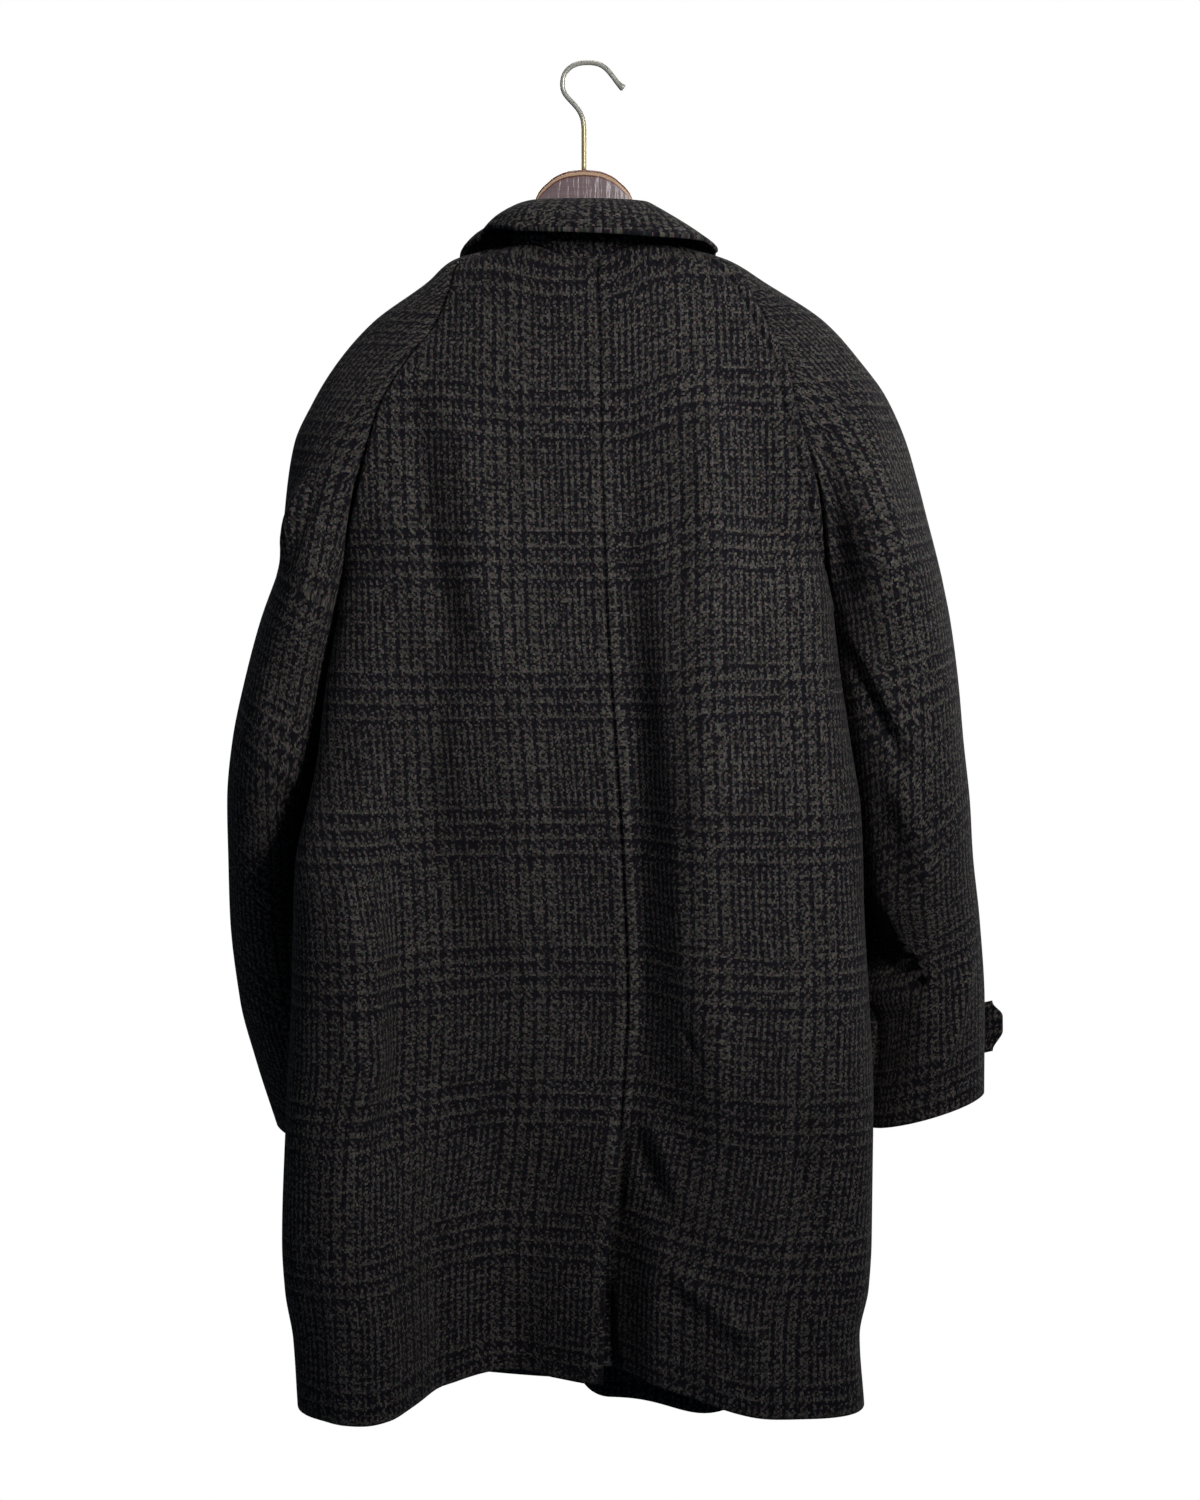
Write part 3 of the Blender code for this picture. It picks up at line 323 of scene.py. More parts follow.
def cloth_shell(name, outer, inner, place, rim, look):
    """Closed wall of cloth: an outer and an inner grid joined round their border by a rounded rim.

    The rim's rings lie between the two borders and stand out from them by a half sine wave, as far as the
    rim says for the first row, last column, last row and first column.
    """
    rows, columns = outer.shape[:2]
    count = rows * columns
    index = np.arange(count).reshape(rows, columns)
    corners = (index[:-1, :-1], index[:-1, 1:], index[1:, 1:], index[1:, :-1])
    face = np.stack(corners, axis=-1).reshape(-1, 4)
    push = np.zeros_like(outer)
    top, last, bottom, first = rim
    for part, next_part, size in ((np.s_[0], np.s_[1], top), (np.s_[:, -1], np.s_[:, -2], last),
                                  (np.s_[-1], np.s_[-2], bottom), (np.s_[:, 0], np.s_[:, 1], first)):
        way = outer[part] - outer[next_part]
        way = way / np.linalg.norm(way, axis=-1, keepdims=True)
        push[part] += way * np.broadcast_to(size, len(way))[:, None]
    border = np.concatenate((index[0, :-1], index[:-1, -1], index[-1, :0:-1], index[:0:-1, 0]))
    from_point = outer.reshape(-1, 3)[border]
    to_point = inner.reshape(-1, 3)[border]
    out = push.reshape(-1, 3)[border]
    rings = [from_point + (to_point - from_point) * t + out * math.sin(math.pi * t) for t in RIM_STEPS]
    order = [border] + [2 * count + k * len(border) + np.arange(len(border)) for k in range(len(RIM_STEPS))]
    order.append(border + count)
    faces = [face, face[:, ::-1] + count]
    for here, below in zip(order[:-1], order[1:]):
        faces.append(np.stack((np.roll(here, -1), here, below, np.roll(below, -1)), axis=-1))
    faces = np.concatenate(faces)
    across = outer[:-1, 1:] - outer[:-1, :-1]
    along = outer[1:, :-1] - outer[:-1, :-1]
    if np.sum(np.cross(across, along) * (outer - inner)[:-1, :-1]) < 0:
        faces = faces[:, ::-1]
    vertices = np.concatenate([outer.reshape(-1, 3), inner.reshape(-1, 3)] + rings)
    flat = place.reshape(-1, 2)
    flat = np.concatenate([flat, flat] + [flat[border]] * len(RIM_STEPS))
    return add_piece(name, vertices, faces, look, flat)


def hex_colour(code):
    """Linear colour of an sRGB hex code."""
    value = np.array([int(code[k:k + 2], 16) for k in (1, 3, 5)]) / 255
    linear = np.where(value <= 0.04045, value / 12.92, ((value + 0.055) / 1.055) ** 2.4)
    return (*linear.tolist(), 1.0)


def add_node(tree, kind, inputs, **settings):
    """Adds a node with its settings and returns its outputs; an input is a value or a socket."""
    made = tree.nodes.new(kind)
    for name, value in settings.items():
        setattr(made, name, value)
    for key, value in inputs.items():
        if isinstance(value, bpy.types.NodeSocket):
            tree.links.new(value, made.inputs[key])
        else:
            made.inputs[key].default_value = value
    return made.outputs


# Fineness of the grids, with the rows above and below the underarm, and sizes of hem, seams, welt and vent
RAGLAN_ROWS = 100
ABOVE_ARM = np.s_[:RAGLAN_ROWS - 1]
BELOW_ARM = np.s_[RAGLAN_ROWS - 1:]
SKIRT_ROWS = 200
BACK_COLUMNS = 140
LEVELS = np.concatenate((raglan_levels(RAGLAN_ROWS), np.linspace(UNDERARM, HEM, SKIRT_ROWS + 1)[1:]))
RIM_STEPS = (0.17, 0.5, 0.83)
EDGE_ROUND = 0.0014
HEM_TURN = dict(high=0.045, soft=0.004, thick=0.0025)
SEAM_DITCH = dict(deep=0.0032, half_width=0.0021)
SEAM_CLEAR = 0.014
NECK_DITCH = 0.7
WELT = dict(high=0.0018, near=0.0020, far=0.0085, soft=0.002, ditch=0.0105, ditch_share=0.6)
WELT_END = dict(below=0.01, above=0.02)
VENT_TOP = -0.930
VENT_SOFT = 0.010
UNDERLAP_BLEND = 0.06

# Creases of the back: three places on each line (x, z), half width and height
BACK_CREASES = {
    "left": (
        (-0.152, -0.250, -0.142, -0.395, -0.110, -0.550, 0.014, -0.0070),
        (-0.114, -0.270, -0.098, -0.420, -0.078, -0.570, 0.016, 0.0080),
        (-0.188, -0.330, -0.196, -0.480, -0.206, -0.660, 0.028, 0.0050),
        (-0.150, -0.560, -0.135, -0.700, -0.120, -0.860, 0.022, -0.0060),
        (-0.192, -0.730, -0.190, -0.820, -0.188, -0.930, 0.016, 0.0070),
        (-0.013, -0.779, -0.004, -0.866, 0.000, -0.946, 0.018, -0.0030),
        (-0.072, -0.860, -0.072, -1.080, -0.072, -1.300, 0.048, -0.0140),
        (0.026, -0.880, 0.014, -1.050, 0.008, -1.280, 0.030, 0.0120)),
    "right": (
        (0.026, -0.240, 0.030, -0.470, 0.036, -0.720, 0.020, -0.0090),
        (0.098, -0.250, 0.102, -0.470, 0.104, -0.720, 0.026, 0.0130),
        (0.034, -0.520, 0.038, -0.740, 0.038, -0.980, 0.016, -0.0075),
        (0.098, -0.560, 0.098, -0.740, 0.096, -0.940, 0.024, 0.0100),
        (0.140, -0.255, 0.150, -0.365, 0.162, -0.490, 0.016, -0.0060),
        (0.180, -0.420, 0.190, -0.500, 0.198, -0.640, 0.020, 0.0060),
        (0.028, -0.900, 0.050, -0.962, 0.080, -1.026, 0.0080, -0.0030),
        (0.044, -0.896, 0.068, -0.956, 0.096, -1.018, 0.0100, 0.0040),
        (0.080, -0.828, 0.094, -0.856, 0.108, -0.884, 0.0045, -0.0025),
        (0.172, -0.930, 0.186, -0.980, 0.192, -1.036, 0.0060, -0.0035),
        (0.066, -1.040, 0.106, -1.078, 0.150, -1.116, 0.0100, 0.0075),
        (0.060, -1.070, 0.098, -1.106, 0.132, -1.140, 0.0140, -0.0020),
        (0.004, -0.900, -0.002, -1.080, -0.006, -1.280, 0.0340, -0.0120),
        (0.062, -0.980, 0.060, -1.080, 0.060, -1.220, 0.0180, 0.0060),
        (0.030, -0.920, 0.026, -0.975, 0.020, -1.030, 0.0040, -0.0045),
        (0.012, -1.060, 0.014, -1.120, 0.024, -1.200, 0.0050, -0.0060))}

# Rolls of the left back panel and of both sleeves over their seams, where body and sleeve hang side by side:
# push out of the back at each level, how far it dies away across the coat and how softly it starts
EDGE_PUSH = table(("level", "left_body", "left_sleeve", "right_sleeve"), (
    (-0.260, 0.000, 0.000, 0.000),
    (-0.330, -0.005, -0.002, 0.000),
    (-0.400, -0.010, -0.010, -0.006),
    (-0.440, -0.013, -0.016, -0.016),
    (-0.478, -0.016, -0.020, -0.026),
    (-0.600, -0.016, -0.018, -0.030),
    (-0.680, -0.010, -0.004, -0.018),
    (-0.750, 0.000, 0.000, 0.000)))
PUSH_WIDTH = dict(left_body=0.018, left_sleeve=0.012, right_sleeve=0.012)
PUSH_START = 0.006

# Weave: pitch of the yarns, yarns in a repeat, in its group of wide stripes, in a wide stripe with the
# light ones each way, in a fine stripe and in the twill, and the place of the weft's repeats down the back
WARP_PITCH = 0.001436
WEFT_PITCH = 0.0016875
WARP_REPEAT = 64
WEFT_REPEAT = 72
GROUP_YARNS = 32
WIDE_STRIPE = 8
WARP_LIGHT = 5
WEFT_LIGHT = 3
FINE_STRIPE = 4
TWILL = 4
SEAM_WARP = 0.0317
LEFT_REPEATS = 20
COURSE = table(("level", "repeats"), (
    (-0.1609, -1.0), (-0.2834, 0.0), (-0.4048, 1.0), (-0.5258, 2.0), (-0.6433, 3.0),
    (-0.7636, 4.0), (-0.8816, 5.0), (-0.9988, 6.0), (-1.1166, 7.0), (-1.1506, 7.29)))
SKEW = dict(high=0.009, near=0.10, far=0.40, top=-0.55, bottom=-0.64)

# Wool in a glen check: groups of wide and fine stripes of light and dark yarn cross in a two-and-two twill.
# It reads as grey from afar; close to, the nap and stray yarns break the checks into pepper-and-salt with
# wine flecks.
STRAY = 0.11
WANDER = ((0.006, 0.0010), (0.0022, 0.0015))
NAP = 0.0022
FIBRE = 0.0019
FUZZ = 0.0008
wool = bpy.data.materials.new("napped_wool_glen_check")
wool.use_nodes = True
tree = wool.node_tree
shader = tree.nodes["Principled BSDF"]
place = add_node(tree, "ShaderNodeUVMap", {}, uv_map="place")["UV"]
moved = place
for size, reach in WANDER:
    noise = add_node(tree, "ShaderNodeTexNoise", {"Vector": place, "Scale": 1 / size, "Detail": 1.0},
                     noise_dimensions="2D")["Color"]
    moved = add_node(tree, "ShaderNodeVectorMath", {0: noise, 1: (reach, reach, 0.0), 2: moved},
                     operation="MULTIPLY_ADD")["Vector"]
spot = add_node(tree, "ShaderNodeSeparateXYZ", {"Vector": moved})
counts = {}
lights = {}
for name, axis, pitch, repeat, wide in (("warp", "X", WARP_PITCH, WARP_REPEAT, WARP_LIGHT),
                                        ("weft", "Y", WEFT_PITCH, WEFT_REPEAT, WEFT_LIGHT)):
    yarns = add_node(tree, "ShaderNodeMath", {0: spot[axis], 1: pitch}, operation="DIVIDE")["Value"]
    count = add_node(tree, "ShaderNodeMath", {0: yarns}, operation="FLOOR")["Value"]
    stripes = []
    for period, light in ((repeat, GROUP_YARNS), (WIDE_STRIPE, wide), (FINE_STRIPE, FINE_STRIPE // 2)):
        left_over = add_node(tree, "ShaderNodeMath", {0: count, 1: period},
                             operation="FLOORED_MODULO")["Value"]
        stripe = add_node(tree, "ShaderNodeMath", {0: left_over, 1: light}, operation="LESS_THAN")["Value"]
        stripes.append(stripe)
    counts[name] = count
    lights[name] = add_node(tree, "ShaderNodeMix", {0: stripes[0], 2: stripes[2], 3: stripes[1]})[0]
twill = add_node(tree, "ShaderNodeMath", {0: counts["warp"], 1: counts["weft"]}, operation="ADD")["Value"]
twill = add_node(tree, "ShaderNodeMath", {0: twill, 1: TWILL}, operation="FLOORED_MODULO")["Value"]
weft_on_top = add_node(tree, "ShaderNodeMath", {0: twill, 1: TWILL // 2}, operation="LESS_THAN")["Value"]
light_yarn = add_node(tree, "ShaderNodeMix", {0: weft_on_top, 2: lights["warp"], 3: lights["weft"]})[0]
cell = add_node(tree, "ShaderNodeCombineXYZ", {"X": counts["warp"], "Y": counts["weft"]})["Vector"]
chance = add_node(tree, "ShaderNodeTexWhiteNoise", {"Vector": cell}, noise_dimensions="2D")
chances = add_node(tree, "ShaderNodeSeparateColor", {"Color": chance["Color"]})
kept = add_node(tree, "ShaderNodeMath", {0: chances["Red"], 1: STRAY}, operation="GREATER_THAN")["Value"]
light_yarn = add_node(tree, "ShaderNodeMath", {0: light_yarn, 1: kept, 2: 0.5},
                      operation="COMPARE")["Value"]
dark = add_node(tree, "ShaderNodeMix", {0: chances["Green"], 6: hex_colour("#06070d"),
                                        7: hex_colour("#1a1c26")}, data_type="RGBA")[2]
light = add_node(tree, "ShaderNodeMix", {0: chances["Blue"], 6: hex_colour("#232220"),
                                         7: hex_colour("#75706a")}, data_type="RGBA")[2]
colour = add_node(tree, "ShaderNodeMix", {0: light_yarn, 6: dark, 7: light}, data_type="RGBA")[2]
nap = add_node(tree, "ShaderNodeTexNoise", {"Vector": place, "Scale": 1 / NAP, "Detail": 2.0},
               noise_dimensions="2D")["Fac"]
blur = add_node(tree, "ShaderNodeMapRange", {"Value": nap, "From Min": 0.35, "From Max": 0.68,
                                             "To Min": 0.05, "To Max": 0.40})["Result"]
colour = add_node(tree, "ShaderNodeMix", {0: blur, 6: colour, 7: hex_colour("#232224")},
                  data_type="RGBA")[2]
fibre = add_node(tree, "ShaderNodeTexNoise", {"Vector": place, "Scale": 1 / FIBRE, "Detail": 3.0,
                                              "Roughness": 0.7}, noise_dimensions="2D")
wine = add_node(tree, "ShaderNodeSeparateColor", {"Color": fibre["Color"]})["Blue"]
wine = add_node(tree, "ShaderNodeMapRange", {"Value": wine, "From Min": 0.58, "From Max": 0.70,
                                             "To Max": 0.75})["Result"]
colour = add_node(tree, "ShaderNodeMix", {0: wine, 6: colour, 7: hex_colour("#3b181d")},
                  data_type="RGBA")[2]
dyes = add_node(tree, "ShaderNodeMix", {0: 0.50, 6: fibre["Fac"], 7: fibre["Color"]}, data_type="RGBA")[2]
gleam = add_node(tree, "ShaderNodeMapRange", {"Vector": dyes, "From Min": (0.28,) * 3,
                                              "From Max": (0.72,) * 3, "To Min": (0.20,) * 3,
                                              "To Max": (1.80,) * 3}, data_type="FLOAT_VECTOR")["Vector"]
colour = add_node(tree, "ShaderNodeMix", {0: 1.0, 6: colour, 7: gleam}, data_type="RGBA",
                  blend_type="MULTIPLY")[2]
tree.links.new(colour, shader.inputs["Base Color"])
bump = add_node(tree, "ShaderNodeBump", {"Height": fibre["Fac"], "Strength": 0.5,
                                         "Distance": FUZZ})["Normal"]
tree.links.new(bump, shader.inputs["Normal"])
shader.inputs["Roughness"].default_value = 0.95
shader.inputs["Specular IOR Level"].default_value = 0.15
shader.inputs["Sheen Weight"].default_value = 0.04
shader.inputs["Sheen Roughness"].default_value = 0.5


def back_panel(side, share):
    """Outer face of a back panel; the right one has the underlap of the vent grown on to it."""
    start = smooth(BODY, "seam", LEVELS)
    if side == "right":
        start = start - smooth(UNDERLAP, "reach", LEVELS)
    grid, outward = body_arc(LEVELS, side, "back", start, share)
    if side == "right":
        past = grid[..., 0] - smooth(BODY, "seam", LEVELS)[:, None]
        grid[..., 1] += smooth(UNDERLAP, "depth", LEVELS)[:, None] * (1 - ease(0.0, UNDERLAP_BLEND, past))
    return grid, outward


def body_place(grid, side, face):
    """Spot in the weave: length along the row from the centre seam or front edge, and the weft's course."""
    run = run_along(grid)
    if face == "back":
        sign = 1.0 if side == "right" else -1.0
        past = sign * (grid[..., 0] - smooth(BODY, "seam", LEVELS)[:, None])
        run = run - np.stack([np.interp(0.0, x, r) for x, r in zip(past, run)])[:, None]
    across = SEAM_WARP + run
    if side == "left":
        across = across + LEFT_REPEATS * WARP_REPEAT * WARP_PITCH
    down = np.broadcast_to(smooth(COURSE, "repeats", LEVELS)[:, None], run.shape) * WEFT_REPEAT * WEFT_PITCH
    if face == "back" and side == "right":
        part_way = ease(SKEW["near"], SKEW["far"], run / run[:, -1:])
        down = down + SKEW["high"] * part_way * ease(SKEW["bottom"], SKEW["top"], LEVELS)[:, None]
    return np.stack((across, down), axis=-1)


def panel_shell(name, base, outward, lift, drops, place, rim, turn_up):
    """Cloth on a panel's form: the face is lifted along its normals and the inside follows, thicker at a hem.

    Each drop (rows, column, axis) takes one axis out of the normals at a seam, so that neighbours stay side
    by side.
    """
    normal = grid_normals(base, outward)
    for rows, column, axis in drops:
        normal[rows, column, axis] = 0.0
    normal = normal / np.linalg.norm(normal, axis=-1, keepdims=True)
    outer = base + normal * lift[..., None]
    return cloth_shell(name, outer, outer - normal * (CLOTH + turn_up)[..., None], place, rim, wool)


def edge_push(grid, name, edge):
    """Push along Y beside an edge column: the table's height at each point times exp(-gap / width)."""
    height = smooth(EDGE_PUSH, name, grid[..., 2])
    gap = np.abs(grid[..., 0] - grid[:, [edge], 0])
    run = run_along(grid)
    start = ease(0.0, PUSH_START, np.abs(run - run[:, [edge]]))
    return height * np.exp(-gap / PUSH_WIDTH[name]) * start


def turn_up_of(grid):
    """Thickness added inside by the turned-up edge along the last row."""
    run = run_along(grid[::-1].transpose(1, 0, 2)).transpose()[::-1]
    return HEM_TURN["thick"] * ease(HEM_TURN["high"] + HEM_TURN["soft"], HEM_TURN["high"], run)


def ditch(distance):
    """Hollow along a seam: -deep exp(-(distance / half width)^2)."""
    return -SEAM_DITCH["deep"] * np.exp(-(distance / SEAM_DITCH["half_width"]) ** 2)


# Cut of each piece: flat width, flat length and area
CUT = {
    "back_left": (0.38, 1.00, 0.335),
    "back_right": (0.36, 1.02, 0.30)}
for side in ("left", "right"):
    grid, outward = back_panel(side, spread(BACK_COLUMNS))
    if side == "left":
        grid[..., 1] += edge_push(grid, "left_body", -1)
    run = run_along(grid)
    from_side = run[:, -1:] - run
    from_neck = run_along(grid.transpose(1, 0, 2)).transpose()
    sewn = ease(VENT_TOP - VENT_SOFT, VENT_TOP + VENT_SOFT, LEVELS)[:, None]
    inside = (1 - ease(SEAM_CLEAR, 0.0, run) * sewn) * ease(0.0, SEAM_CLEAR, from_side)
    upper = ease(UNDERARM - WELT_END["below"], UNDERARM + WELT_END["above"], LEVELS)[:, None]
    lift = crease_height(grid, BACK_CREASES[side]) * inside + ditch(run) * sewn
    lift = lift + NECK_DITCH * ditch(from_neck)
    if side == "right":
        raised = ease(0.0, WELT["near"], from_side)
        raised = raised * ease(WELT["far"] + WELT["soft"], WELT["far"], from_side)
        beside = WELT["ditch_share"] * ditch(from_side - WELT["ditch"])
        lift = lift + upper * (WELT["high"] * raised + beside)
        lift = lift + (1 - upper) * ditch(from_side)
    else:
        lift = lift + ditch(from_side)
    drops = ((np.s_[:], 0, 0), (ABOVE_ARM, -1, 0), (BELOW_ARM, -1, 1))
    free = EDGE_ROUND * (1 - sewn[:, 0])
    piece = panel_shell("cloth_back_" + side, grid, outward, lift, drops, body_place(grid, side, "back"),
                        (0.0, 0.0, EDGE_ROUND, free), turn_up_of(grid))
    width, length, area = CUT["back_" + side]
    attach(piece, "root")
    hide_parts("back_" + side)

# Front panels
# Each front is one panel of the same wool from the side seam to its free edge, closed by four buttons: the
# left one laps over the right. Both edges are turned in and the lower corners are rounded.
LAP_GAP = 0.0015
LAP_BLEND = (0.004, 0.035)
LAP_CLEAR = 0.04
FREE_EDGE_CLEAR = 0.030
FRONT_COLUMNS = 80
FRONT_EDGE = table(("level", "left", "right"), (
    (-0.170, 0.030, -0.030),
    (-0.400, 0.045, -0.045),
    (-0.800, 0.075, -0.035),
    (-1.147, 0.125, -0.012)))
FRONT_CORNER = 0.030
CORNER_RISE = 0.12
RIGHT_SAG = dict(across=0.115, half_width=0.055, depth=0.029, top=-0.95)

# Creases of the fronts, in the same form as the back's
FRONT_CREASES = {
    "left": (
        (-0.150, -0.340, -0.137, -0.450, -0.120, -0.570, 0.016, -0.0050),
        (-0.070, -0.330, -0.060, -0.440, -0.062, -0.560, 0.018, 0.0030),
        (-0.200, -0.620, -0.192, -0.800, -0.196, -1.010, 0.018, 0.0040),
        (-0.110, -0.640, -0.098, -0.850, -0.104, -1.120, 0.020, -0.0040),
        (0.000, -0.760, 0.020, -0.900, 0.034, -1.090, 0.017, 0.0030)),
    "right": (
        (0.145, -0.330, 0.130, -0.440, 0.118, -0.560, 0.015, -0.0050),
        (0.085, -0.420, 0.090, -0.560, 0.084, -0.700, 0.018, 0.0030),
        (0.205, -0.600, 0.192, -0.790, 0.190, -1.000, 0.017, 0.0040),
        (0.140, -0.720, 0.150, -0.900, 0.146, -1.100, 0.020, -0.0045))}


def front_panel(side, share):
    """Outer face of a front panel from its free edge; the right one lies inside the left where they lap."""
    start = smooth(FRONT_EDGE, side, LEVELS)
    points, outward = body_arc(LEVELS, side, "front", start, share)
    if side == "right":
        cover = smooth(FRONT_EDGE, "left", LEVELS)[:, None]
        lap = 1 - ease(*LAP_BLEND, points[..., 0] - cover)
        points = points - outward * (lap * (CLOTH + LAP_GAP))[..., None]
        away = (points[..., 0] - RIGHT_SAG["across"]) / RIGHT_SAG["half_width"]
        fall = ease(RIGHT_SAG["top"], HEM, LEVELS)[:, None]
        points[..., 2] -= RIGHT_SAG["depth"] * np.exp(-away * away) * fall
    near = np.clip(1 - np.abs(points[..., 0] - start[:, None]) / FRONT_CORNER, 0, 1)
    round_off = FRONT_CORNER * (1 - np.sqrt(1 - near * near))
    points[..., 2] += round_off * ease(HEM + CORNER_RISE, HEM, LEVELS)[:, None]
    return points, outward


CUT["front_left"] = (0.42, 1.00, 0.34)
CUT["front_right"] = (0.36, 1.00, 0.28)
front_faces = {}
for side in ("left", "right"):
    grid, outward = front_panel(side, spread(FRONT_COLUMNS))
    run = run_along(grid)
    from_side = run[:, -1:] - run
    inside = ease(0.0, FREE_EDGE_CLEAR, run) * ease(0.0, SEAM_CLEAR, from_side)
    if side == "right":
        past_lap = grid[..., 0] - smooth(FRONT_EDGE, "left", LEVELS)[:, None]
        inside = inside * ease(0.0, LAP_CLEAR, past_lap)
    lift = crease_height(grid, FRONT_CREASES[side]) * inside + ditch(from_side)
    drops = ((ABOVE_ARM, -1, 0), (BELOW_ARM, -1, 1))
    piece = panel_shell("cloth_front_" + side, grid, outward, lift, drops, body_place(grid, side, "front"),
                        (0.0, 0.0, EDGE_ROUND, EDGE_ROUND), turn_up_of(grid))
    width, length, area = CUT["front_" + side]
    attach(piece, "root")
    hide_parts("front_" + side)
    front_faces[side] = (grid, grid_normals(grid, outward))

# Sleeves
# Each raglan sleeve is cut from the wool in two halves, back and front, that run up to the neck and are sewn
# together over the shoulder ridge and under the arm. The cuff's edge is turned in.
SLEEVE_COLUMNS = 56
SLEEVE_STEPS = 400
ARM_ROWS = 130
SLEEVE_CUT = (0.24, 0.86, 0.126)

# Sleeves below the underarm: height and place of the outer seam, inner seam, middle, half depth and
# tilt of the row
ARM_NAMES = ("outer_z", "outer", "inner", "middle", "half_depth", "tilt")
ARMS = {
    "left": table(ARM_NAMES, (
        (-0.448, -0.2778, -0.2205, 0.000, 0.078, 0.030),
        (-0.487, -0.2926, -0.2275, 0.004, 0.078, 0.031),
        (-0.540, -0.3074, -0.2355, 0.006, 0.076, 0.032),
        (-0.594, -0.3198, -0.2455, 0.014, 0.073, 0.033),
        (-0.648, -0.3272, -0.2565, 0.032, 0.069, 0.034),
        (-0.700, -0.3293, -0.2590, 0.052, 0.066, 0.034),
        (-0.760, -0.3307, -0.2560, 0.072, 0.063, 0.034),
        (-0.840, -0.3254, -0.2430, 0.096, 0.058, 0.034),
        (-0.900, -0.3128, -0.2260, 0.112, 0.054, 0.034),
        (-0.962, -0.2955, -0.2080, 0.124, 0.052, 0.034))),
    "right": table(ARM_NAMES, (
        (-0.448, 0.3115, 0.2150, 0.000, 0.078, 0.030),
        (-0.487, 0.3198, 0.2194, 0.002, 0.077, 0.031),
        (-0.540, 0.3274, 0.2278, 0.003, 0.075, 0.033),
        (-0.594, 0.3332, 0.2374, 0.008, 0.071, 0.034),
        (-0.648, 0.3406, 0.2426, 0.018, 0.067, 0.034),
        (-0.700, 0.3458, 0.2440, 0.032, 0.063, 0.034),
        (-0.760, 0.3545, 0.2460, 0.048, 0.060, 0.034),
        (-0.840, 0.3605, 0.2490, 0.053, 0.056, 0.034),
        (-0.920, 0.3612, 0.2520, 0.056, 0.053, 0.031)))}
CUFF = {"left": -0.962, "right": -0.920}


def sleeve_arc(row, side, face, share):
    """Rows of a sleeve half, from the raglan or underarm seam (share 0) to the ridge (share 1).

    Each row is part of an ellipse; rows 0 to 1 are the raglan part, rows 1 to 2 run down to the cuff.
    """
    row = np.asarray(row, dtype=float)[:, None]
    upper = row <= 1
    level = NECK + (UNDERARM - NECK) * np.clip(row, 0, 1)
    outer_z = smooth(RAGLAN, "ridge_rise", UNDERARM) + UNDERARM
    low_z = outer_z + (CUFF[side] - outer_z) * np.clip(row - 1, 0, 1)
    arm = ARMS[side]
    turn = np.where(upper, np.radians(smooth(RAGLAN, "turn", level)), -math.pi / 2)
    depth = np.where(upper, smooth(RAGLAN, "half_depth", level), smooth(arm, "half_depth", low_z))
    ridge = np.where(upper, smooth(RAGLAN, side + "_ridge", level), smooth(arm, "outer", low_z))
    seam = smooth(RAGLAN, side + "_seam", level)
    if face == "front":
        seam = seam * smooth(RAGLAN, "front_share", level)
        seam_z = level + smooth(RAGLAN, "front_rise", level)
    else:
        seam_z = level + smooth(BODY, side + "_rise", level)
    seam = np.where(upper, seam, smooth(arm, "inner", low_z))
    ridge_z = np.where(upper, level + smooth(RAGLAN, "ridge_rise", level), low_z)
    seam_z = np.where(upper, seam_z, low_z - smooth(arm, "tilt", low_z))
    centre_y = np.where(upper, 0.0, smooth(arm, "middle", low_z))
    wide = (ridge - seam) / (1 - np.sin(turn))
    t = np.linspace(0, 1, SLEEVE_STEPS)[None, :]
    angle = turn + (math.pi / 2 - turn) * t
    length = np.concatenate((np.zeros_like(row), np.cumsum(
        np.hypot(np.diff(np.sin(angle)) * wide, np.diff(np.cos(angle)) * depth), axis=1)), axis=1)
    share = np.broadcast_to(np.asarray(share, dtype=float), (len(row), np.shape(share)[-1]))
    angle = np.stack([np.interp(s * w[-1], w, a) for s, w, a in zip(share, length, angle)])
    face_sign = -1.0 if face == "back" else 1.0
    x = ridge - wide * (1 - np.sin(angle))
    y = centre_y + face_sign * depth * np.cos(angle)
    z = seam_z + (ridge_z - seam_z) * (np.sin(angle) - np.sin(turn)) / (1 - np.sin(turn))
    return np.stack((x, y, z), axis=-1)


def sleeve_middle(row, side):
    """Points half way between the middles of a sleeve's two halves, one for each row."""
    half_way = np.array([0.5])
    return 0.5 * (sleeve_arc(row, side, "back", half_way) + sleeve_arc(row, side, "front", half_way))


SLEEVE_ROWS = np.concatenate(((raglan_levels(RAGLAN_ROWS) - NECK) / (UNDERARM - NECK),
                              np.linspace(1, 2, ARM_ROWS + 1)[1:]))

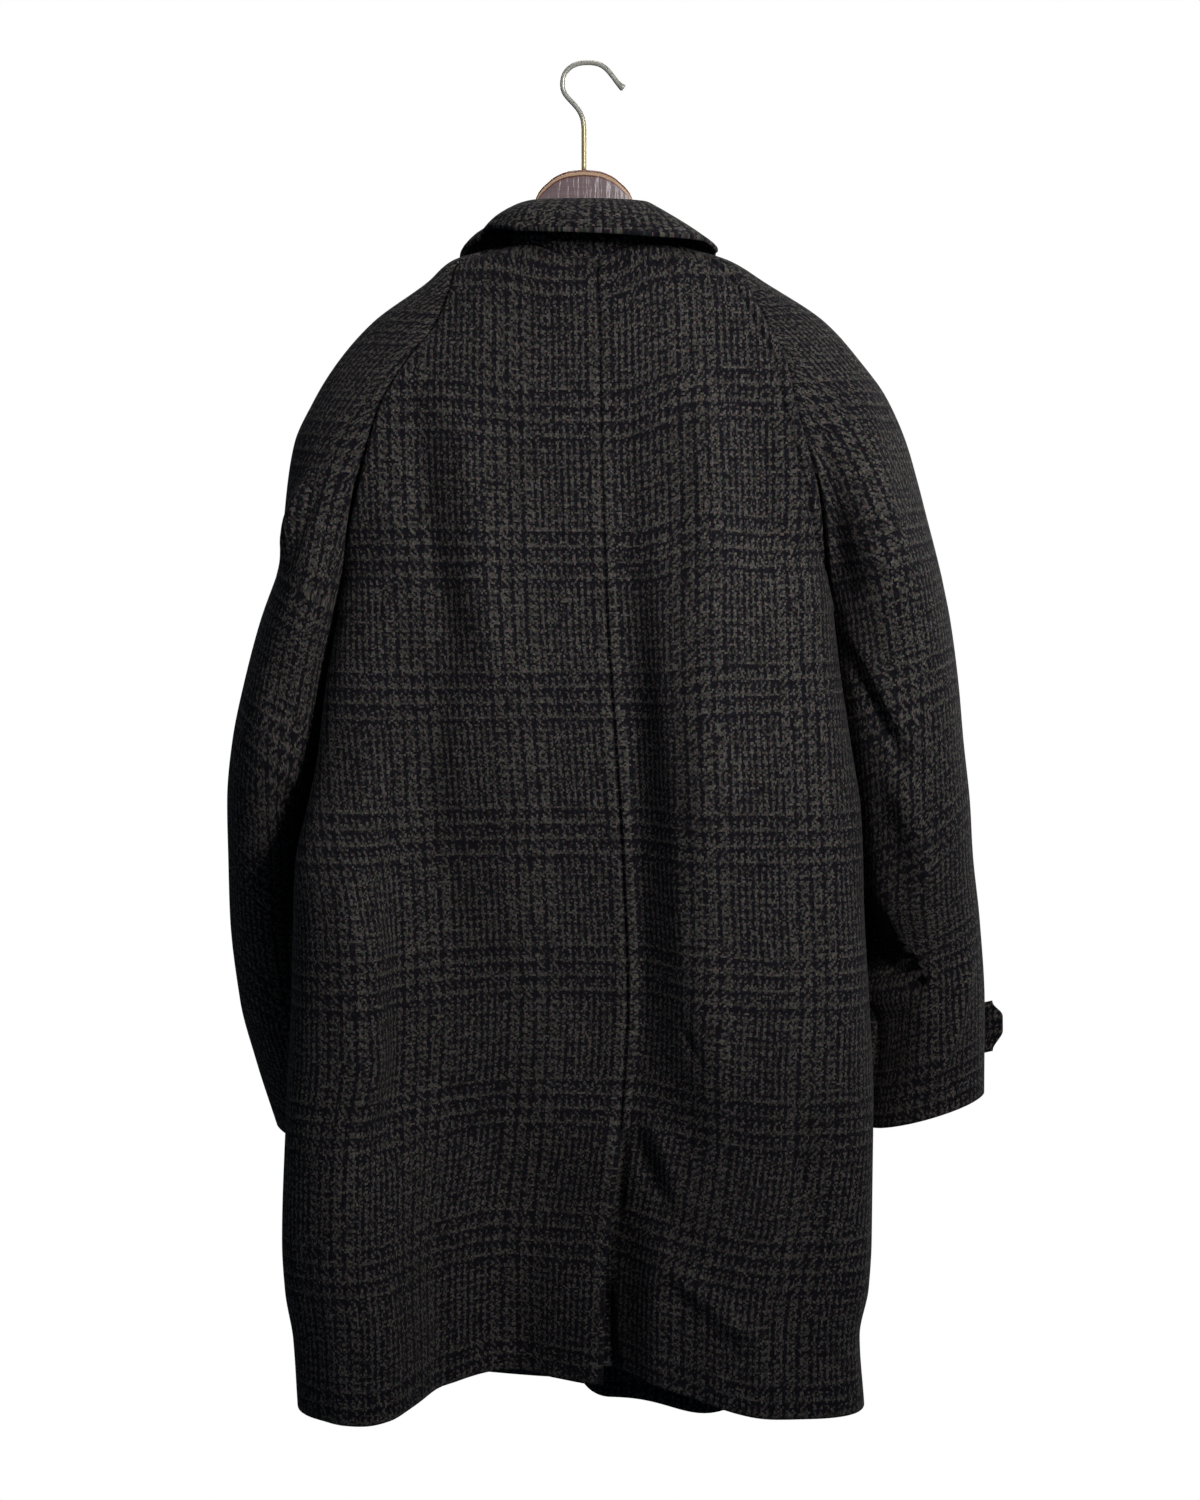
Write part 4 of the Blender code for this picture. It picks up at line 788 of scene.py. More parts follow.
# Creases of the sleeves, in the same form as the back's
SLEEVE_CREASES = {
    ("left", "back"): (
        (-0.227, -0.352, -0.246, -0.398, -0.262, -0.446, 0.0050, -0.0040),
        (-0.238, -0.350, -0.256, -0.396, -0.270, -0.442, 0.0055, 0.0075),
        (-0.317, -0.684, -0.279, -0.655, -0.256, -0.620, 0.013, -0.0060),
        (-0.260, -0.487, -0.269, -0.550, -0.261, -0.595, 0.014, -0.0040)),
    ("left", "front"): (
        (-0.262, -0.500, -0.280, -0.560, -0.268, -0.620, 0.013, -0.0040),
        (-0.318, -0.700, -0.292, -0.672, -0.268, -0.650, 0.012, -0.0060),
        (-0.310, -0.800, -0.285, -0.770, -0.262, -0.755, 0.012, 0.0040)),
    ("right", "back"): (
        (0.224, -0.265, 0.244, -0.375, 0.268, -0.500, 0.0200, 0.0120),
        (0.186, -0.290, 0.206, -0.380, 0.232, -0.500, 0.0100, -0.0050),
        (0.214, -0.492, 0.249, -0.562, 0.283, -0.632, 0.0060, -0.0045),
        (0.221, -0.484, 0.258, -0.553, 0.293, -0.624, 0.0055, 0.0055),
        (0.246, -0.610, 0.266, -0.690, 0.284, -0.760, 0.0120, -0.0030),
        (0.259, -0.605, 0.288, -0.677, 0.312, -0.748, 0.0090, 0.0050),
        (0.340, -0.776, 0.329, -0.850, 0.297, -0.918, 0.0060, 0.0065),
        (0.284, -0.740, 0.268, -0.845, 0.244, -0.960, 0.0300, -0.0140)),
    ("right", "front"): (
        (0.240, -0.520, 0.276, -0.560, 0.300, -0.630, 0.012, -0.0050),
        (0.330, -0.720, 0.300, -0.690, 0.268, -0.670, 0.012, -0.0060),
        (0.334, -0.830, 0.305, -0.800, 0.276, -0.790, 0.012, 0.0040))}

# How far creases keep from the seams, strength of the ditches along them, and the swelling below the underarm
SLEEVE_CLEAR = dict(seam=0.016, ridge=0.012)
SLEEVE_DITCH = dict(seam=0.7, ridge=0.5, start=0.1)
UNDERARM_EASE = dict(high=0.004, wide=0.030, begin=0.93, full=1.0, fade=1.30, gone=1.60)

# Deep fold inside the right elbow: place of its upper end, lean from upright in radians, length with parts
# over which it begins and ends, depth, softness of its upper edge, how far below that edge it stays full and
# dies away, room left before the front half, and how fast creases die away inside it
ELBOW = dict(x=0.238, z=-0.706, lean=0.482, long=0.140, begin=0.02, end=0.062, deep=0.042, edge=0.006,
             near=0.030, far=0.090, apart=0.010, crease_power=4)

# Place of the weave on each sleeve; its turn is read over a few columns and evened out over some rows
SLEEVE_WARP = {"left": 0.010, "right": 0.010}
SLEEVE_WEFT = {"left": 0.0, "right": 0.027}
LEAN_COLUMNS = 3
LEAN_SOFT = 10


def sleeve_place(grid, side):
    """Spot in the weave: the warp runs along the ridge, and each row is turned by its angle with it."""
    ridge = grid[:, -1]
    along = np.gradient(ridge, axis=0)
    step = np.linalg.norm(np.diff(ridge, axis=0), axis=1)
    down = np.concatenate(([0.0], np.cumsum(step)))
    along = along / np.linalg.norm(along, axis=-1, keepdims=True)
    inward = grid[:, -1 - LEAN_COLUMNS] - ridge
    inward = inward / np.linalg.norm(inward, axis=-1, keepdims=True)
    lean = np.sum(along * inward, axis=-1)
    weight = np.hanning(2 * LEAN_SOFT + 1) / LEAN_SOFT
    lean = np.convolve(np.pad(lean, LEAN_SOFT, mode="edge"), weight, mode="valid")
    run = run_along(grid[:, ::-1])[:, ::-1]
    across = SLEEVE_WARP[side] + run * np.sqrt(1 - lean * lean)[:, None]
    return np.stack((across, SLEEVE_WEFT[side] + down[:, None] + run * lean[:, None]), axis=-1)


for side in ("left", "right"):
    for face in ("back", "front"):
        grid = sleeve_arc(SLEEVE_ROWS, side, face, spread(SLEEVE_COLUMNS))
        centre = sleeve_middle(SLEEVE_ROWS, side)
        run = run_along(grid)
        from_ridge = run[:, -1:] - run
        inside = ease(0.0, SLEEVE_CLEAR["seam"], run) * ease(0.0, SLEEVE_CLEAR["ridge"], from_ridge)
        lift = crease_height(grid, SLEEVE_CREASES[side, face]) * inside
        past_neck = ease(0.0, SLEEVE_DITCH["start"], SLEEVE_ROWS)[:, None]
        lift = lift + SLEEVE_DITCH["seam"] * ditch(run)
        lift = lift + SLEEVE_DITCH["ridge"] * ditch(from_ridge) * past_neck
        near_body = ease(UNDERARM_EASE["begin"], UNDERARM_EASE["full"], SLEEVE_ROWS)
        near_body = near_body * ease(UNDERARM_EASE["gone"], UNDERARM_EASE["fade"], SLEEVE_ROWS)
        lift = lift + UNDERARM_EASE["high"] * near_body[:, None] * ease(UNDERARM_EASE["wide"], 0.0, run)
        if face == "back":
            grid[..., 1] += edge_push(grid, side + "_sleeve", 0)
        if (side, face) == ("right", "back"):
            right_way = grid[..., 0] - ELBOW["x"]
            down_way = ELBOW["z"] - grid[..., 2]
            along = right_way * math.sin(ELBOW["lean"]) + down_way * math.cos(ELBOW["lean"])
            below = down_way * math.sin(ELBOW["lean"]) - right_way * math.cos(ELBOW["lean"])
            length = ease(0.0, ELBOW["begin"], along)
            length = length * ease(ELBOW["long"], ELBOW["long"] - ELBOW["end"], along)
            hollow = ease(0.0, ELBOW["edge"], below) * ease(ELBOW["far"], ELBOW["near"], below)
            other_half = sleeve_arc(SLEEVE_ROWS, side, "front", spread(SLEEVE_COLUMNS))
            room = np.maximum(other_half[..., 1] - grid[..., 1] - ELBOW["apart"], 0.0)
            pushed = np.minimum(ELBOW["deep"], room) * hollow * inside * length
            grid[..., 1] += pushed
            lift = lift * (1 - hollow * length) ** ELBOW["crease_power"]
            lift = np.maximum(lift, pushed - room)
        drops = ((np.s_[:], -1, 1), (ABOVE_ARM, 0, 0), (BELOW_ARM, 0, 1))
        piece = panel_shell("cloth_sleeve_%s_%s" % (face, side), grid, grid - centre, lift, drops,
                            sleeve_place(grid, side), (0.0, 0.0, EDGE_ROUND, 0.0), turn_up_of(grid))
        width, length, area = SLEEVE_CUT
        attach(piece, "root")
        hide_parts("sleeve_%s_%s" % (face, side))

# Collar
# A stand sewn into the neck and a fall turned down over it, each of doubled wool. The fall stands away from
# the neck behind and casts a shadow under its edge; its ends run forward to the fronts.
COLLAR_CLOTH = 0.004
COLLAR_COLUMNS = 180
STAND_ROWS = 16
FALL_ROWS = 40
COLLAR_END = 0.97
FRONT_FOOT_GAP = 0.0035
FOOT_UNDER = 0.006
FOOT_IN = 0.0032
FOOT_SPAN = (0.45, 0.90)
STAND_HIGH = 0.05
FOLD_OUT = 0.003
FOLD_PART = 0.2
FACE_SPAN = (0.05, 0.5)
FALL_ROUND = 0.0016
COLLAR_WEFT = 0.056
COLLAR_NAMES = ("around", "fold", "fold_z", "out", "edge_z", "bulge")
COLLAR = {
    "left": table(COLLAR_NAMES, (
        (0.00, 0.001, -0.1255, 0.034, -0.1540, 0.006),
        (0.20, 0.003, -0.1257, 0.033, -0.1510, 0.005),
        (0.33, 0.000, -0.1295, 0.024, -0.1460, 0.002),
        (0.42, -0.004, -0.1380, 0.024, -0.1530, 0.004),
        (0.50, -0.004, -0.1455, 0.044, -0.1610, 0.007),
        (0.58, -0.003, -0.1530, 0.052, -0.1690, 0.006),
        (0.68, -0.002, -0.1640, 0.048, -0.1880, 0.004),
        (0.80, 0.001, -0.1800, 0.038, -0.2180, 0.006),
        (0.98, 0.002, -0.1970, 0.032, -0.2500, 0.005))),
    "right": table(COLLAR_NAMES, (
        (0.00, 0.001, -0.1255, 0.034, -0.1540, 0.006),
        (0.20, -0.008, -0.1260, 0.033, -0.1566, 0.003),
        (0.33, -0.015, -0.1320, 0.033, -0.1568, 0.002),
        (0.42, -0.019, -0.1365, 0.037, -0.1625, 0.001),
        (0.52, -0.014, -0.1445, 0.042, -0.1655, 0.003),
        (0.65, -0.004, -0.1600, 0.044, -0.1825, 0.005),
        (0.80, 0.001, -0.1800, 0.038, -0.2180, 0.006),
        (0.98, 0.002, -0.1970, 0.032, -0.2500, 0.005)))}


def neck_ring(side, around):
    """Points of the neck seam by share from the centre back to the centre front, with outward ways."""
    top = np.array([NECK])
    share = np.linspace(0, 1, 40)
    back = body_arc(top, side, "back", smooth(BODY, "seam", top), share)[0][0]
    over = sleeve_arc(np.array([0.0]), side, "back", share)[0]
    under = sleeve_arc(np.array([0.0]), side, "front", share)[0][::-1]
    front = body_arc(top, side, "front", np.zeros(1), share)[0][0][::-1]
    line = np.concatenate((back, over[1:], under[1:], front[1:]))
    length = np.concatenate(([0.0], np.cumsum(np.linalg.norm(np.diff(line, axis=0), axis=1))))
    points = np.stack([np.interp(around * length[-1], length, line[:, k]) for k in range(3)], axis=-1)
    sign = 1.0 if side == "right" else -1.0
    turn = math.pi * around
    outward = np.stack((sign * np.sin(turn), -np.cos(turn), np.zeros_like(turn)), axis=-1)
    return points, outward


def collar_size(name):
    """A collar size round the whole neck, from the tables of its left and right side."""
    right = smooth(COLLAR["right"], name, key)
    left = smooth(COLLAR["left"], name, key)
    return np.where(around >= 0, right, left)[:, None]


around = np.linspace(-COLLAR_END, COLLAR_END, COLLAR_COLUMNS)
left_points, left_out = neck_ring("left", np.abs(around))
right_points, right_out = neck_ring("right", np.abs(around))
is_right = (around >= 0)[:, None]
neck = np.where(is_right, right_points, left_points)
away = np.where(is_right, right_out, left_out)
key = np.abs(around)
up = np.array([0.0, 0.0, 1.0])
foot_gap = SEAM_GAP + FRONT_FOOT_GAP * ease(*FOOT_SPAN, key)
stand_foot = neck + up * (foot_gap - FOOT_UNDER)[:, None] - away * FOOT_IN
stand_top = neck + away * collar_size("fold")
stand_top[:, 2] = collar_size("fold_z")[:, 0]
t = np.linspace(0, 1, STAND_ROWS)[:, None, None]
stand = stand_foot + (stand_top - stand_foot) * t
round_neck = run_along(stand_top[None])[0]
place = np.stack(np.broadcast_arrays(round_neck[None, :], STAND_HIGH * t[..., 0]), axis=-1)
stand_piece = cloth_shell("cloth_collar_stand", stand, stand - away * COLLAR_CLOTH, place,
                          (0.0, EDGE_ROUND, 0.0, EDGE_ROUND), wool)
fall_edge = neck + away * collar_size("out")
fall_edge[:, 2] = collar_size("edge_z")[:, 0]
fall_start = stand_top - away * COLLAR_CLOTH + up * SEAM_GAP
fall_turn = stand_top + away * FOLD_OUT + up * SEAM_GAP
t = np.linspace(0, 1, FALL_ROWS)[:, None, None]
over = np.clip(t / FOLD_PART, 0, 1)
down = np.clip((t - FOLD_PART) / (1 - FOLD_PART), 0, 1)
bulge = collar_size("bulge") * np.sin(math.pi * down) * (away + up) / math.sqrt(2)
under = fall_start + (fall_turn - fall_start) * over + (fall_edge - fall_turn) * down + bulge
lean = fall_edge - fall_turn
normal = up * np.sum(lean * away, axis=-1, keepdims=True) - away * lean[:, 2:3]
normal = normal / np.linalg.norm(normal, axis=-1, keepdims=True)
turned = ease(*FACE_SPAN, t)
face_way = up * (1 - turned) + normal * turned
face_way = face_way / np.linalg.norm(face_way, axis=-1, keepdims=True)
face = under + face_way * COLLAR_CLOTH
down_face = run_along(face.transpose(1, 0, 2)).transpose()
place = np.stack(np.broadcast_arrays(SEAM_WARP + round_neck[None, :] - round_neck[-1] / 2,
                                     COLLAR_WEFT + down_face), axis=-1)
fall_piece = cloth_shell("cloth_collar_fall", face, under, place,
                         (0.0, EDGE_ROUND, FALL_ROUND, EDGE_ROUND), wool)
for piece, node, cut_size in ((stand_piece, "collar_stand", (0.44, 0.045, 0.0118)),
                              (fall_piece, "collar_fall", (0.62, 0.07, 0.0320))):
    width, length, area = cut_size
    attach(piece, "root")
    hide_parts(node)

# Cuff straps and their buttons
# A doubled strap of the same wool lies on the front of each sleeve near the cuff, held by a horn button; the
# right one's end stands off past the sleeve's outer edge.
STRAP_CLOTH = 0.0035
STRAP_POINT = 0.010
STRAP_FLAT = 0.3
STRAP_ROUND = 0.0008
STRAP_ROWS = 24
STRAP_COLUMNS = 60
STRAP = {
    "left": dict(top=-0.882, bottom=-0.928, begin=0.10, leave=0.80, beyond=0.004, gap=0.0014),
    "right": dict(top=-0.846, bottom=-0.892, begin=0.10, leave=0.62, beyond=0.051, gap=0.0006)}
CUFF_BUTTON = dict(radius=0.009, thick=0.0035)
# Button, in shares of its radius and thickness: outline of back and rim (out, high), flat dish, four holes
BUTTON_RIM = (
    (0.02, 0.0), (0.86, 0.0), (0.96, 0.12), (1.0, 0.35), (1.0, 0.70),
    (0.97, 0.90), (0.90, 1.0), (0.82, 0.97), (0.74, 0.86), (0.66, 0.80))
DISH = dict(edge=0.64, middle=0.02, high=0.78, rings=36)
HOLE = dict(off=0.22, radius=0.085, edge=0.06, deep=0.8)
BUTTON_SIDES = 48

# Dark polished horn: nearly black brown with faint streaks and a soft shine.
horn = bpy.data.materials.new("polished_dark_horn")
horn.use_nodes = True
tree = horn.node_tree
shader = tree.nodes["Principled BSDF"]
spot = add_node(tree, "ShaderNodeTexCoord", {})["Object"]
streak = add_node(tree, "ShaderNodeTexNoise", {"Vector": spot, "Scale": 1 / 0.004, "Detail": 3.0,
                                               "Distortion": 1.5})["Fac"]
colour = add_node(tree, "ShaderNodeMix", {0: streak, 6: hex_colour("#14100e"), 7: hex_colour("#4a3a2e")},
                  data_type="RGBA")[2]
tree.links.new(colour, shader.inputs["Base Color"])
shader.inputs["Roughness"].default_value = 0.32


def closed_tube(name, rings, look, place):
    """Closed body through rows of rings of points; each end ring is filled with a strip of faces."""
    count, sides = rings.shape[:2]
    index = np.arange(count * sides).reshape(count, sides)
    turned = np.roll(index, -1, axis=1)
    round_faces = np.stack((index[:-1], turned[:-1], turned[1:], index[1:]), axis=-1).reshape(-1, 4)
    k = np.arange(sides // 2 - 1)
    strip = np.stack((k, k + 1, sides - 2 - k, sides - 1 - k), axis=-1)
    faces = np.concatenate((round_faces, index[0][strip][:, ::-1], index[-1][strip]))
    vertices = rings.reshape(-1, 3)
    middle = rings.mean(axis=1, keepdims=True)
    facing = np.cross(rings[:-1, 1:] - rings[:-1, :-1], rings[1:, :-1] - rings[:-1, :-1])
    if np.sum(facing * (rings - middle)[:-1, :-1]) < 0:
        faces = faces[:, ::-1]
    return add_piece(name, vertices, faces, look, place.reshape(-1, 2))


def four_hole_button(name, seat, axis_way, radius, thick):
    """Turned disc: rings of a rim and dish profile, sunk as a soft step within each of the four holes."""
    out = np.linspace(DISH["edge"], DISH["middle"], DISH["rings"])
    dish = np.stack((out, np.full_like(out, DISH["high"])), axis=-1)
    profile = np.concatenate((np.array(BUTTON_RIM), dish))
    axis_way = axis_way / np.linalg.norm(axis_way)
    side_way = np.cross(axis_way, up)
    side_way = side_way / np.linalg.norm(side_way)
    other = np.cross(axis_way, side_way)
    turn = np.linspace(0, 2 * math.pi, BUTTON_SIDES, endpoint=False)
    flat_x = profile[:, :1] * np.cos(turn)
    flat_y = profile[:, :1] * np.sin(turn)
    high = np.repeat(profile[:, 1:], len(turn), axis=1)
    to_hole = np.hypot(np.abs(flat_x) - HOLE["off"], np.abs(flat_y) - HOLE["off"])
    sunk = HOLE["deep"] * ease(HOLE["radius"] + HOLE["edge"], HOLE["radius"], to_hole)
    in_dish = np.s_[len(BUTTON_RIM):]
    high[in_dish] = high[in_dish] - DISH["high"] * sunk[in_dish]
    rings = (seat + radius * (flat_x[..., None] * side_way + flat_y[..., None] * other) +
             thick * high[..., None] * axis_way)
    return closed_tube(name, rings, horn, np.stack((flat_x, flat_y), axis=-1))


def nearest_normal(faces, normals, spot):
    """Normal of a grid at its point nearest to a spot."""
    k = np.argmin(np.linalg.norm(faces.reshape(-1, 3) - spot, axis=-1))
    return normals.reshape(-1, 3)[k]


for side in ("left", "right"):
    size = STRAP[side]
    outer_z = UNDERARM + smooth(RAGLAN, "ridge_rise", UNDERARM)
    heights = np.linspace(size["top"], size["bottom"], STRAP_ROWS)
    rows = 1 + (heights - outer_z) / (CUFF[side] - outer_z)
    share = np.linspace(size["begin"], size["leave"], STRAP_COLUMNS)
    lying = sleeve_arc(rows, side, "front", share)
    middle = 0.5 * (sleeve_arc(rows, side, "back", np.array([0.5])) +
                    sleeve_arc(rows, side, "front", np.array([0.5])))
    normal = grid_normals(lying, lying - middle)
    way = lying[:, -1] - lying[:, -2]
    way = way / np.linalg.norm(way, axis=-1, keepdims=True)
    half = np.linspace(-1, 1, STRAP_ROWS)
    point = STRAP_POINT * ease(1.0, STRAP_FLAT, np.abs(half))
    steps = np.linspace(0, 1, STRAP_COLUMNS // 2)[1:]
    ahead = lying[:, -1:] + way[:, None] * ((size["beyond"] + point)[:, None] * steps)[..., None]
    grid = np.concatenate((lying, ahead), axis=1)
    normal = np.concatenate((normal, np.repeat(normal[:, -1:], len(steps), axis=1)), axis=1)
    face = grid + normal * (size["gap"] + STRAP_CLOTH)
    down = np.repeat((size["top"] - heights)[:, None], face.shape[1], axis=1)
    piece = cloth_shell("cloth_cuff_tab_" + side, face, grid + normal * size["gap"],
                        np.stack((run_along(face), down), axis=-1), (STRAP_ROUND,) * 4, wool)
    low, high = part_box("button_cuff_" + side)
    spot = 0.5 * (np.array(low) + np.array(high))
    axis_way = nearest_normal(face, normal, spot)
    seat = spot - axis_way * CUFF_BUTTON["thick"] / 2
    button = four_hole_button("button_cuff_" + side + "_horn", seat, axis_way, **CUFF_BUTTON)
    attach(piece, "root")
    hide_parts("cuff_tab_" + side)
    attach(button, "root")
    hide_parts("button_cuff_" + side)

# Front buttons
# Four dark horn buttons with four holes, sewn through the left front near its edge.
FRONT_BUTTON = dict(radius=0.0125, thick=0.004)
FRONT_BUTTONS = 4
for i in range(1, FRONT_BUTTONS + 1):
    node = "button_front_%d" % i
    low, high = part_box(node)
    spot = 0.5 * (np.array(low) + np.array(high))
    axis_way = nearest_normal(*front_faces["left"], spot)
    seat = spot - axis_way * FRONT_BUTTON["thick"] / 2
    button = four_hole_button(node + "_horn", seat, axis_way, **FRONT_BUTTON)
    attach(button, "root")
    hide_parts(node)

# Hanger
# A yoke of varnished wood, flat-faced at the neck with a rounded rim. Its arms run inside the shoulders,
# thicken there and carry the coat.
HANGER_MIDDLE = -0.0053
HANGER_GAP = 0.0008
ARM_DIP = 0.003
YOKE = table(("out", "top"), (
    (0.000, -0.0911),
    (0.013, -0.0925),
    (0.024, -0.0965),
    (0.033, -0.1033),
    (0.0395, -0.1103),
    (0.0435, -0.1190),
    (0.0475, -0.1330),
    (0.0530, -0.1530),
    (0.0600, -0.1640)))
ARM_SHAPE = table(("out", "high", "thick"), (
    (0.000, 0.050, 0.018),
    (0.040, 0.044, 0.018),
    (0.060, 0.030, 0.016),
    (0.100, 0.030, 0.018),
    (0.160, 0.030, 0.026),
    (0.205, 0.026, 0.028),
    (0.222, 0.010, 0.014)))
YOKE_BOW = dict(deep=0.003, at=0.045, start=0.05, end=0.08)
YOKE_TO_ARM = (0.054, 0.072)
ARM_TIP = dict(drop=0.010, start=0.200, end=0.222)
SQUARE = dict(arm=2.0, more=3.0, start=0.06, end=0.12)
DIP_SPAN = (0.10, 0.15)
STATION_POWER = 1.15
HANGER_SECTIONS = 241
HANGER_SIDES = 64

# Varnished wood: mauve brown with fine lengthwise grain under a soft gloss that breaks on
# upright marks in the varnish; the rounded rim is painted with a tan highlight between two brown lines.
# Depth of each rim band from the top of the section and its colour; the tan band is a painted highlight.
RIM_LINES = ((0.0066, "#7c4a38"), (0.0050, "#e8c09c"), (0.0022, "#8a4a30"))
GRAIN_SCALE = (30.0, 200.0, 900.0)
MARKS = dict(wide=0.004, long=0.040, deep=0.0016)
wood = bpy.data.materials.new("varnished_wood_with_painted_rim_highlight")
wood.use_nodes = True
tree = wood.node_tree
shader = tree.nodes["Principled BSDF"]
spot = add_node(tree, "ShaderNodeTexCoord", {})["Object"]
long_way = add_node(tree, "ShaderNodeMapping", {"Vector": spot, "Scale": GRAIN_SCALE})["Vector"]
grain = add_node(tree, "ShaderNodeTexNoise", {"Vector": long_way, "Scale": 1.0, "Detail": 4.0})["Fac"]
colour = add_node(tree, "ShaderNodeMix", {0: grain, 6: hex_colour("#6c5355"), 7: hex_colour("#b0979a")},
                  data_type="RGBA")[2]
round_way = add_node(tree, "ShaderNodeUVMap", {}, uv_map="place")["UV"]
rim_part = add_node(tree, "ShaderNodeSeparateXYZ", {"Vector": round_way})["Y"]
for low, tint in RIM_LINES:
    inside_line = add_node(tree, "ShaderNodeMath", {0: rim_part, 1: low}, operation="LESS_THAN")["Value"]
    colour = add_node(tree, "ShaderNodeMix", {0: inside_line, 6: colour, 7: hex_colour(tint)},
                      data_type="RGBA")[2]
tree.links.new(colour, shader.inputs["Base Color"])
mark_scale = (1 / MARKS["wide"], 1.0, 1 / MARKS["long"])
down_way = add_node(tree, "ShaderNodeMapping", {"Vector": spot, "Scale": mark_scale})["Vector"]
marks = add_node(tree, "ShaderNodeTexNoise", {"Vector": down_way, "Scale": 1.0, "Detail": 3.0})["Fac"]
bent = add_node(tree, "ShaderNodeBump", {
    "Height": marks, "Strength": 1.0, "Distance": MARKS["deep"]})["Normal"]
tree.links.new(bent, shader.inputs["Coat Normal"])
shader.inputs["Roughness"].default_value = 0.40
shader.inputs["Coat Weight"].default_value = 1.0
shader.inputs["Coat Roughness"].default_value = 0.30


def ridge_under(side, across):
    """Height of the inner face of the shoulder ridge above places across the coat."""
    line = sleeve_arc(SLEEVE_ROWS[:RAGLAN_ROWS + 1], side, "back", np.array([1.0]))[:, 0]
    slope = np.gradient(line[:, 2]) / np.gradient(line[:, 0])
    low = line[:, 2] - CLOTH * np.sqrt(1 + slope * slope)
    order = np.argsort(line[:, 0])
    return np.interp(across, line[order, 0], low[order])


stations = np.linspace(-1, 1, HANGER_SECTIONS)
off = np.sign(stations) * ARM_SHAPE["out"][-1] * np.abs(stations) ** STATION_POWER
span = np.abs(off)
across = HANGER_MIDDLE + off
high = smooth(ARM_SHAPE, "high", span)
thick = smooth(ARM_SHAPE, "thick", span)
under_ridge = np.where(off >= 0, ridge_under("right", across), ridge_under("left", across)) - HANGER_GAP
hump = smooth(YOKE, "top", span)
blend = ease(*YOKE_TO_ARM, span)
arm_top = under_ridge - ARM_DIP * (1 - ease(*DIP_SPAN, span))
top = hump * (1 - blend) + arm_top * blend
top = top - ARM_TIP["drop"] * ease(ARM_TIP["start"], ARM_TIP["end"], span)
turn = np.linspace(0, 2 * math.pi, HANGER_SIDES, endpoint=False)
flatness = SQUARE["arm"] + SQUARE["more"] * (1 - ease(SQUARE["start"], SQUARE["end"], span))
flatness = flatness[:, None]
side_part = np.sign(np.sin(turn)) * np.abs(np.sin(turn)) ** (2 / flatness)
top_part = np.sign(np.cos(turn)) * np.abs(np.cos(turn)) ** (2 / flatness)
bow = YOKE_BOW["deep"] * (1 - ease(YOKE_BOW["start"], YOKE_BOW["end"], span))
bow = bow * (span / YOKE_BOW["at"]) ** 2
rings = np.stack(np.broadcast_arrays(across[:, None], (thick / 2 - bow)[:, None] * side_part,
                                     (top - high / 2)[:, None] + high[:, None] / 2 * top_part), axis=-1)
from_top = np.broadcast_to(top[:, None] - rings[..., 2], rings.shape[:2])
piece = closed_tube("hanger_wood", rings, wood, np.stack((rings[..., 0], from_top), axis=-1))
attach(piece, "root")
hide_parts("hanger_body")

# Hook
# A plated wire with a thicker rounded tip, brassy on its shank and paler above, bent to a hook and screwed
# into the top of the yoke.
HOOK = table(("run", "x", "z", "radius"), (
    (0.0, -0.0053, -0.0907, 0.0022),
    (1.0, -0.0053, -0.0520, 0.0022),
    (1.5, -0.0078, -0.0425, 0.0022),
    (2.0, -0.0130, -0.0350, 0.0022),
    (2.5, -0.0195, -0.0285, 0.0022),
    (3.0, -0.0243, -0.0205, 0.0022),
    (3.5, -0.0240, -0.0110, 0.0022),
    (4.0, -0.0185, -0.0025, 0.0022),
    (4.5, -0.0095, 0.0017, 0.0022),
    (5.0, 0.0000, 0.0022, 0.0022),
    (5.5, 0.0095, 0.0005, 0.0022),
    (6.0, 0.0175, -0.0065, 0.0022),
    (6.5, 0.0240, -0.0155, 0.0023),
    (7.0, 0.0285, -0.0195, 0.0032)))
# Rings of the wire, its sides, the rings over which its bends are evened out, and the dome of its tip
HOOK_RINGS = 260
HOOK_SIDES = 24
HOOK_SOFT = 20
HOOK_DOME = 0.0020
DOME_RINGS = 7

# Plated steel: brass yellow low on the shank, where the plate is warm, and nickel grey above it, a little
# dulled in spots.
BRASS_END = -0.056
NICKEL_START = -0.040
DULL = dict(size=0.003, share=0.35)
plate = bpy.data.materials.new("plated_steel_wire")
plate.use_nodes = True
tree = plate.node_tree
shader = tree.nodes["Principled BSDF"]
spot = add_node(tree, "ShaderNodeTexCoord", {})["Object"]
height = add_node(tree, "ShaderNodeSeparateXYZ", {"Vector": spot})["Z"]
upper = add_node(tree, "ShaderNodeMapRange", {
    "Value": height, "From Min": BRASS_END, "From Max": NICKEL_START})["Result"]
dull = add_node(tree, "ShaderNodeTexNoise", {"Vector": spot, "Scale": 1 / DULL["size"], "Detail": 3.0})["Fac"]
colour = add_node(tree, "ShaderNodeMix", {0: upper, 6: hex_colour("#e6d09a"), 7: hex_colour("#ebe8dc")},
                  data_type="RGBA")[2]
dull = add_node(tree, "ShaderNodeMath", {0: dull, 1: DULL["share"]}, operation="MULTIPLY")["Value"]
colour = add_node(tree, "ShaderNodeMix", {0: dull, 6: colour, 7: hex_colour("#8d8468")}, data_type="RGBA")[2]
tree.links.new(colour, shader.inputs["Base Color"])
shader.inputs["Metallic"].default_value = 0.25
shader.inputs["Roughness"].default_value = 0.30
run = np.linspace(HOOK["run"][0], HOOK["run"][-1], HOOK_RINGS)
line = np.stack((smooth(HOOK, "x", run), smooth(HOOK, "z", run)), axis=-1)
weight = np.hanning(2 * HOOK_SOFT + 1) / HOOK_SOFT
before = 2 * line[0] - line[HOOK_SOFT:0:-1]
after = 2 * line[-1] - line[-2:-HOOK_SOFT - 2:-1]
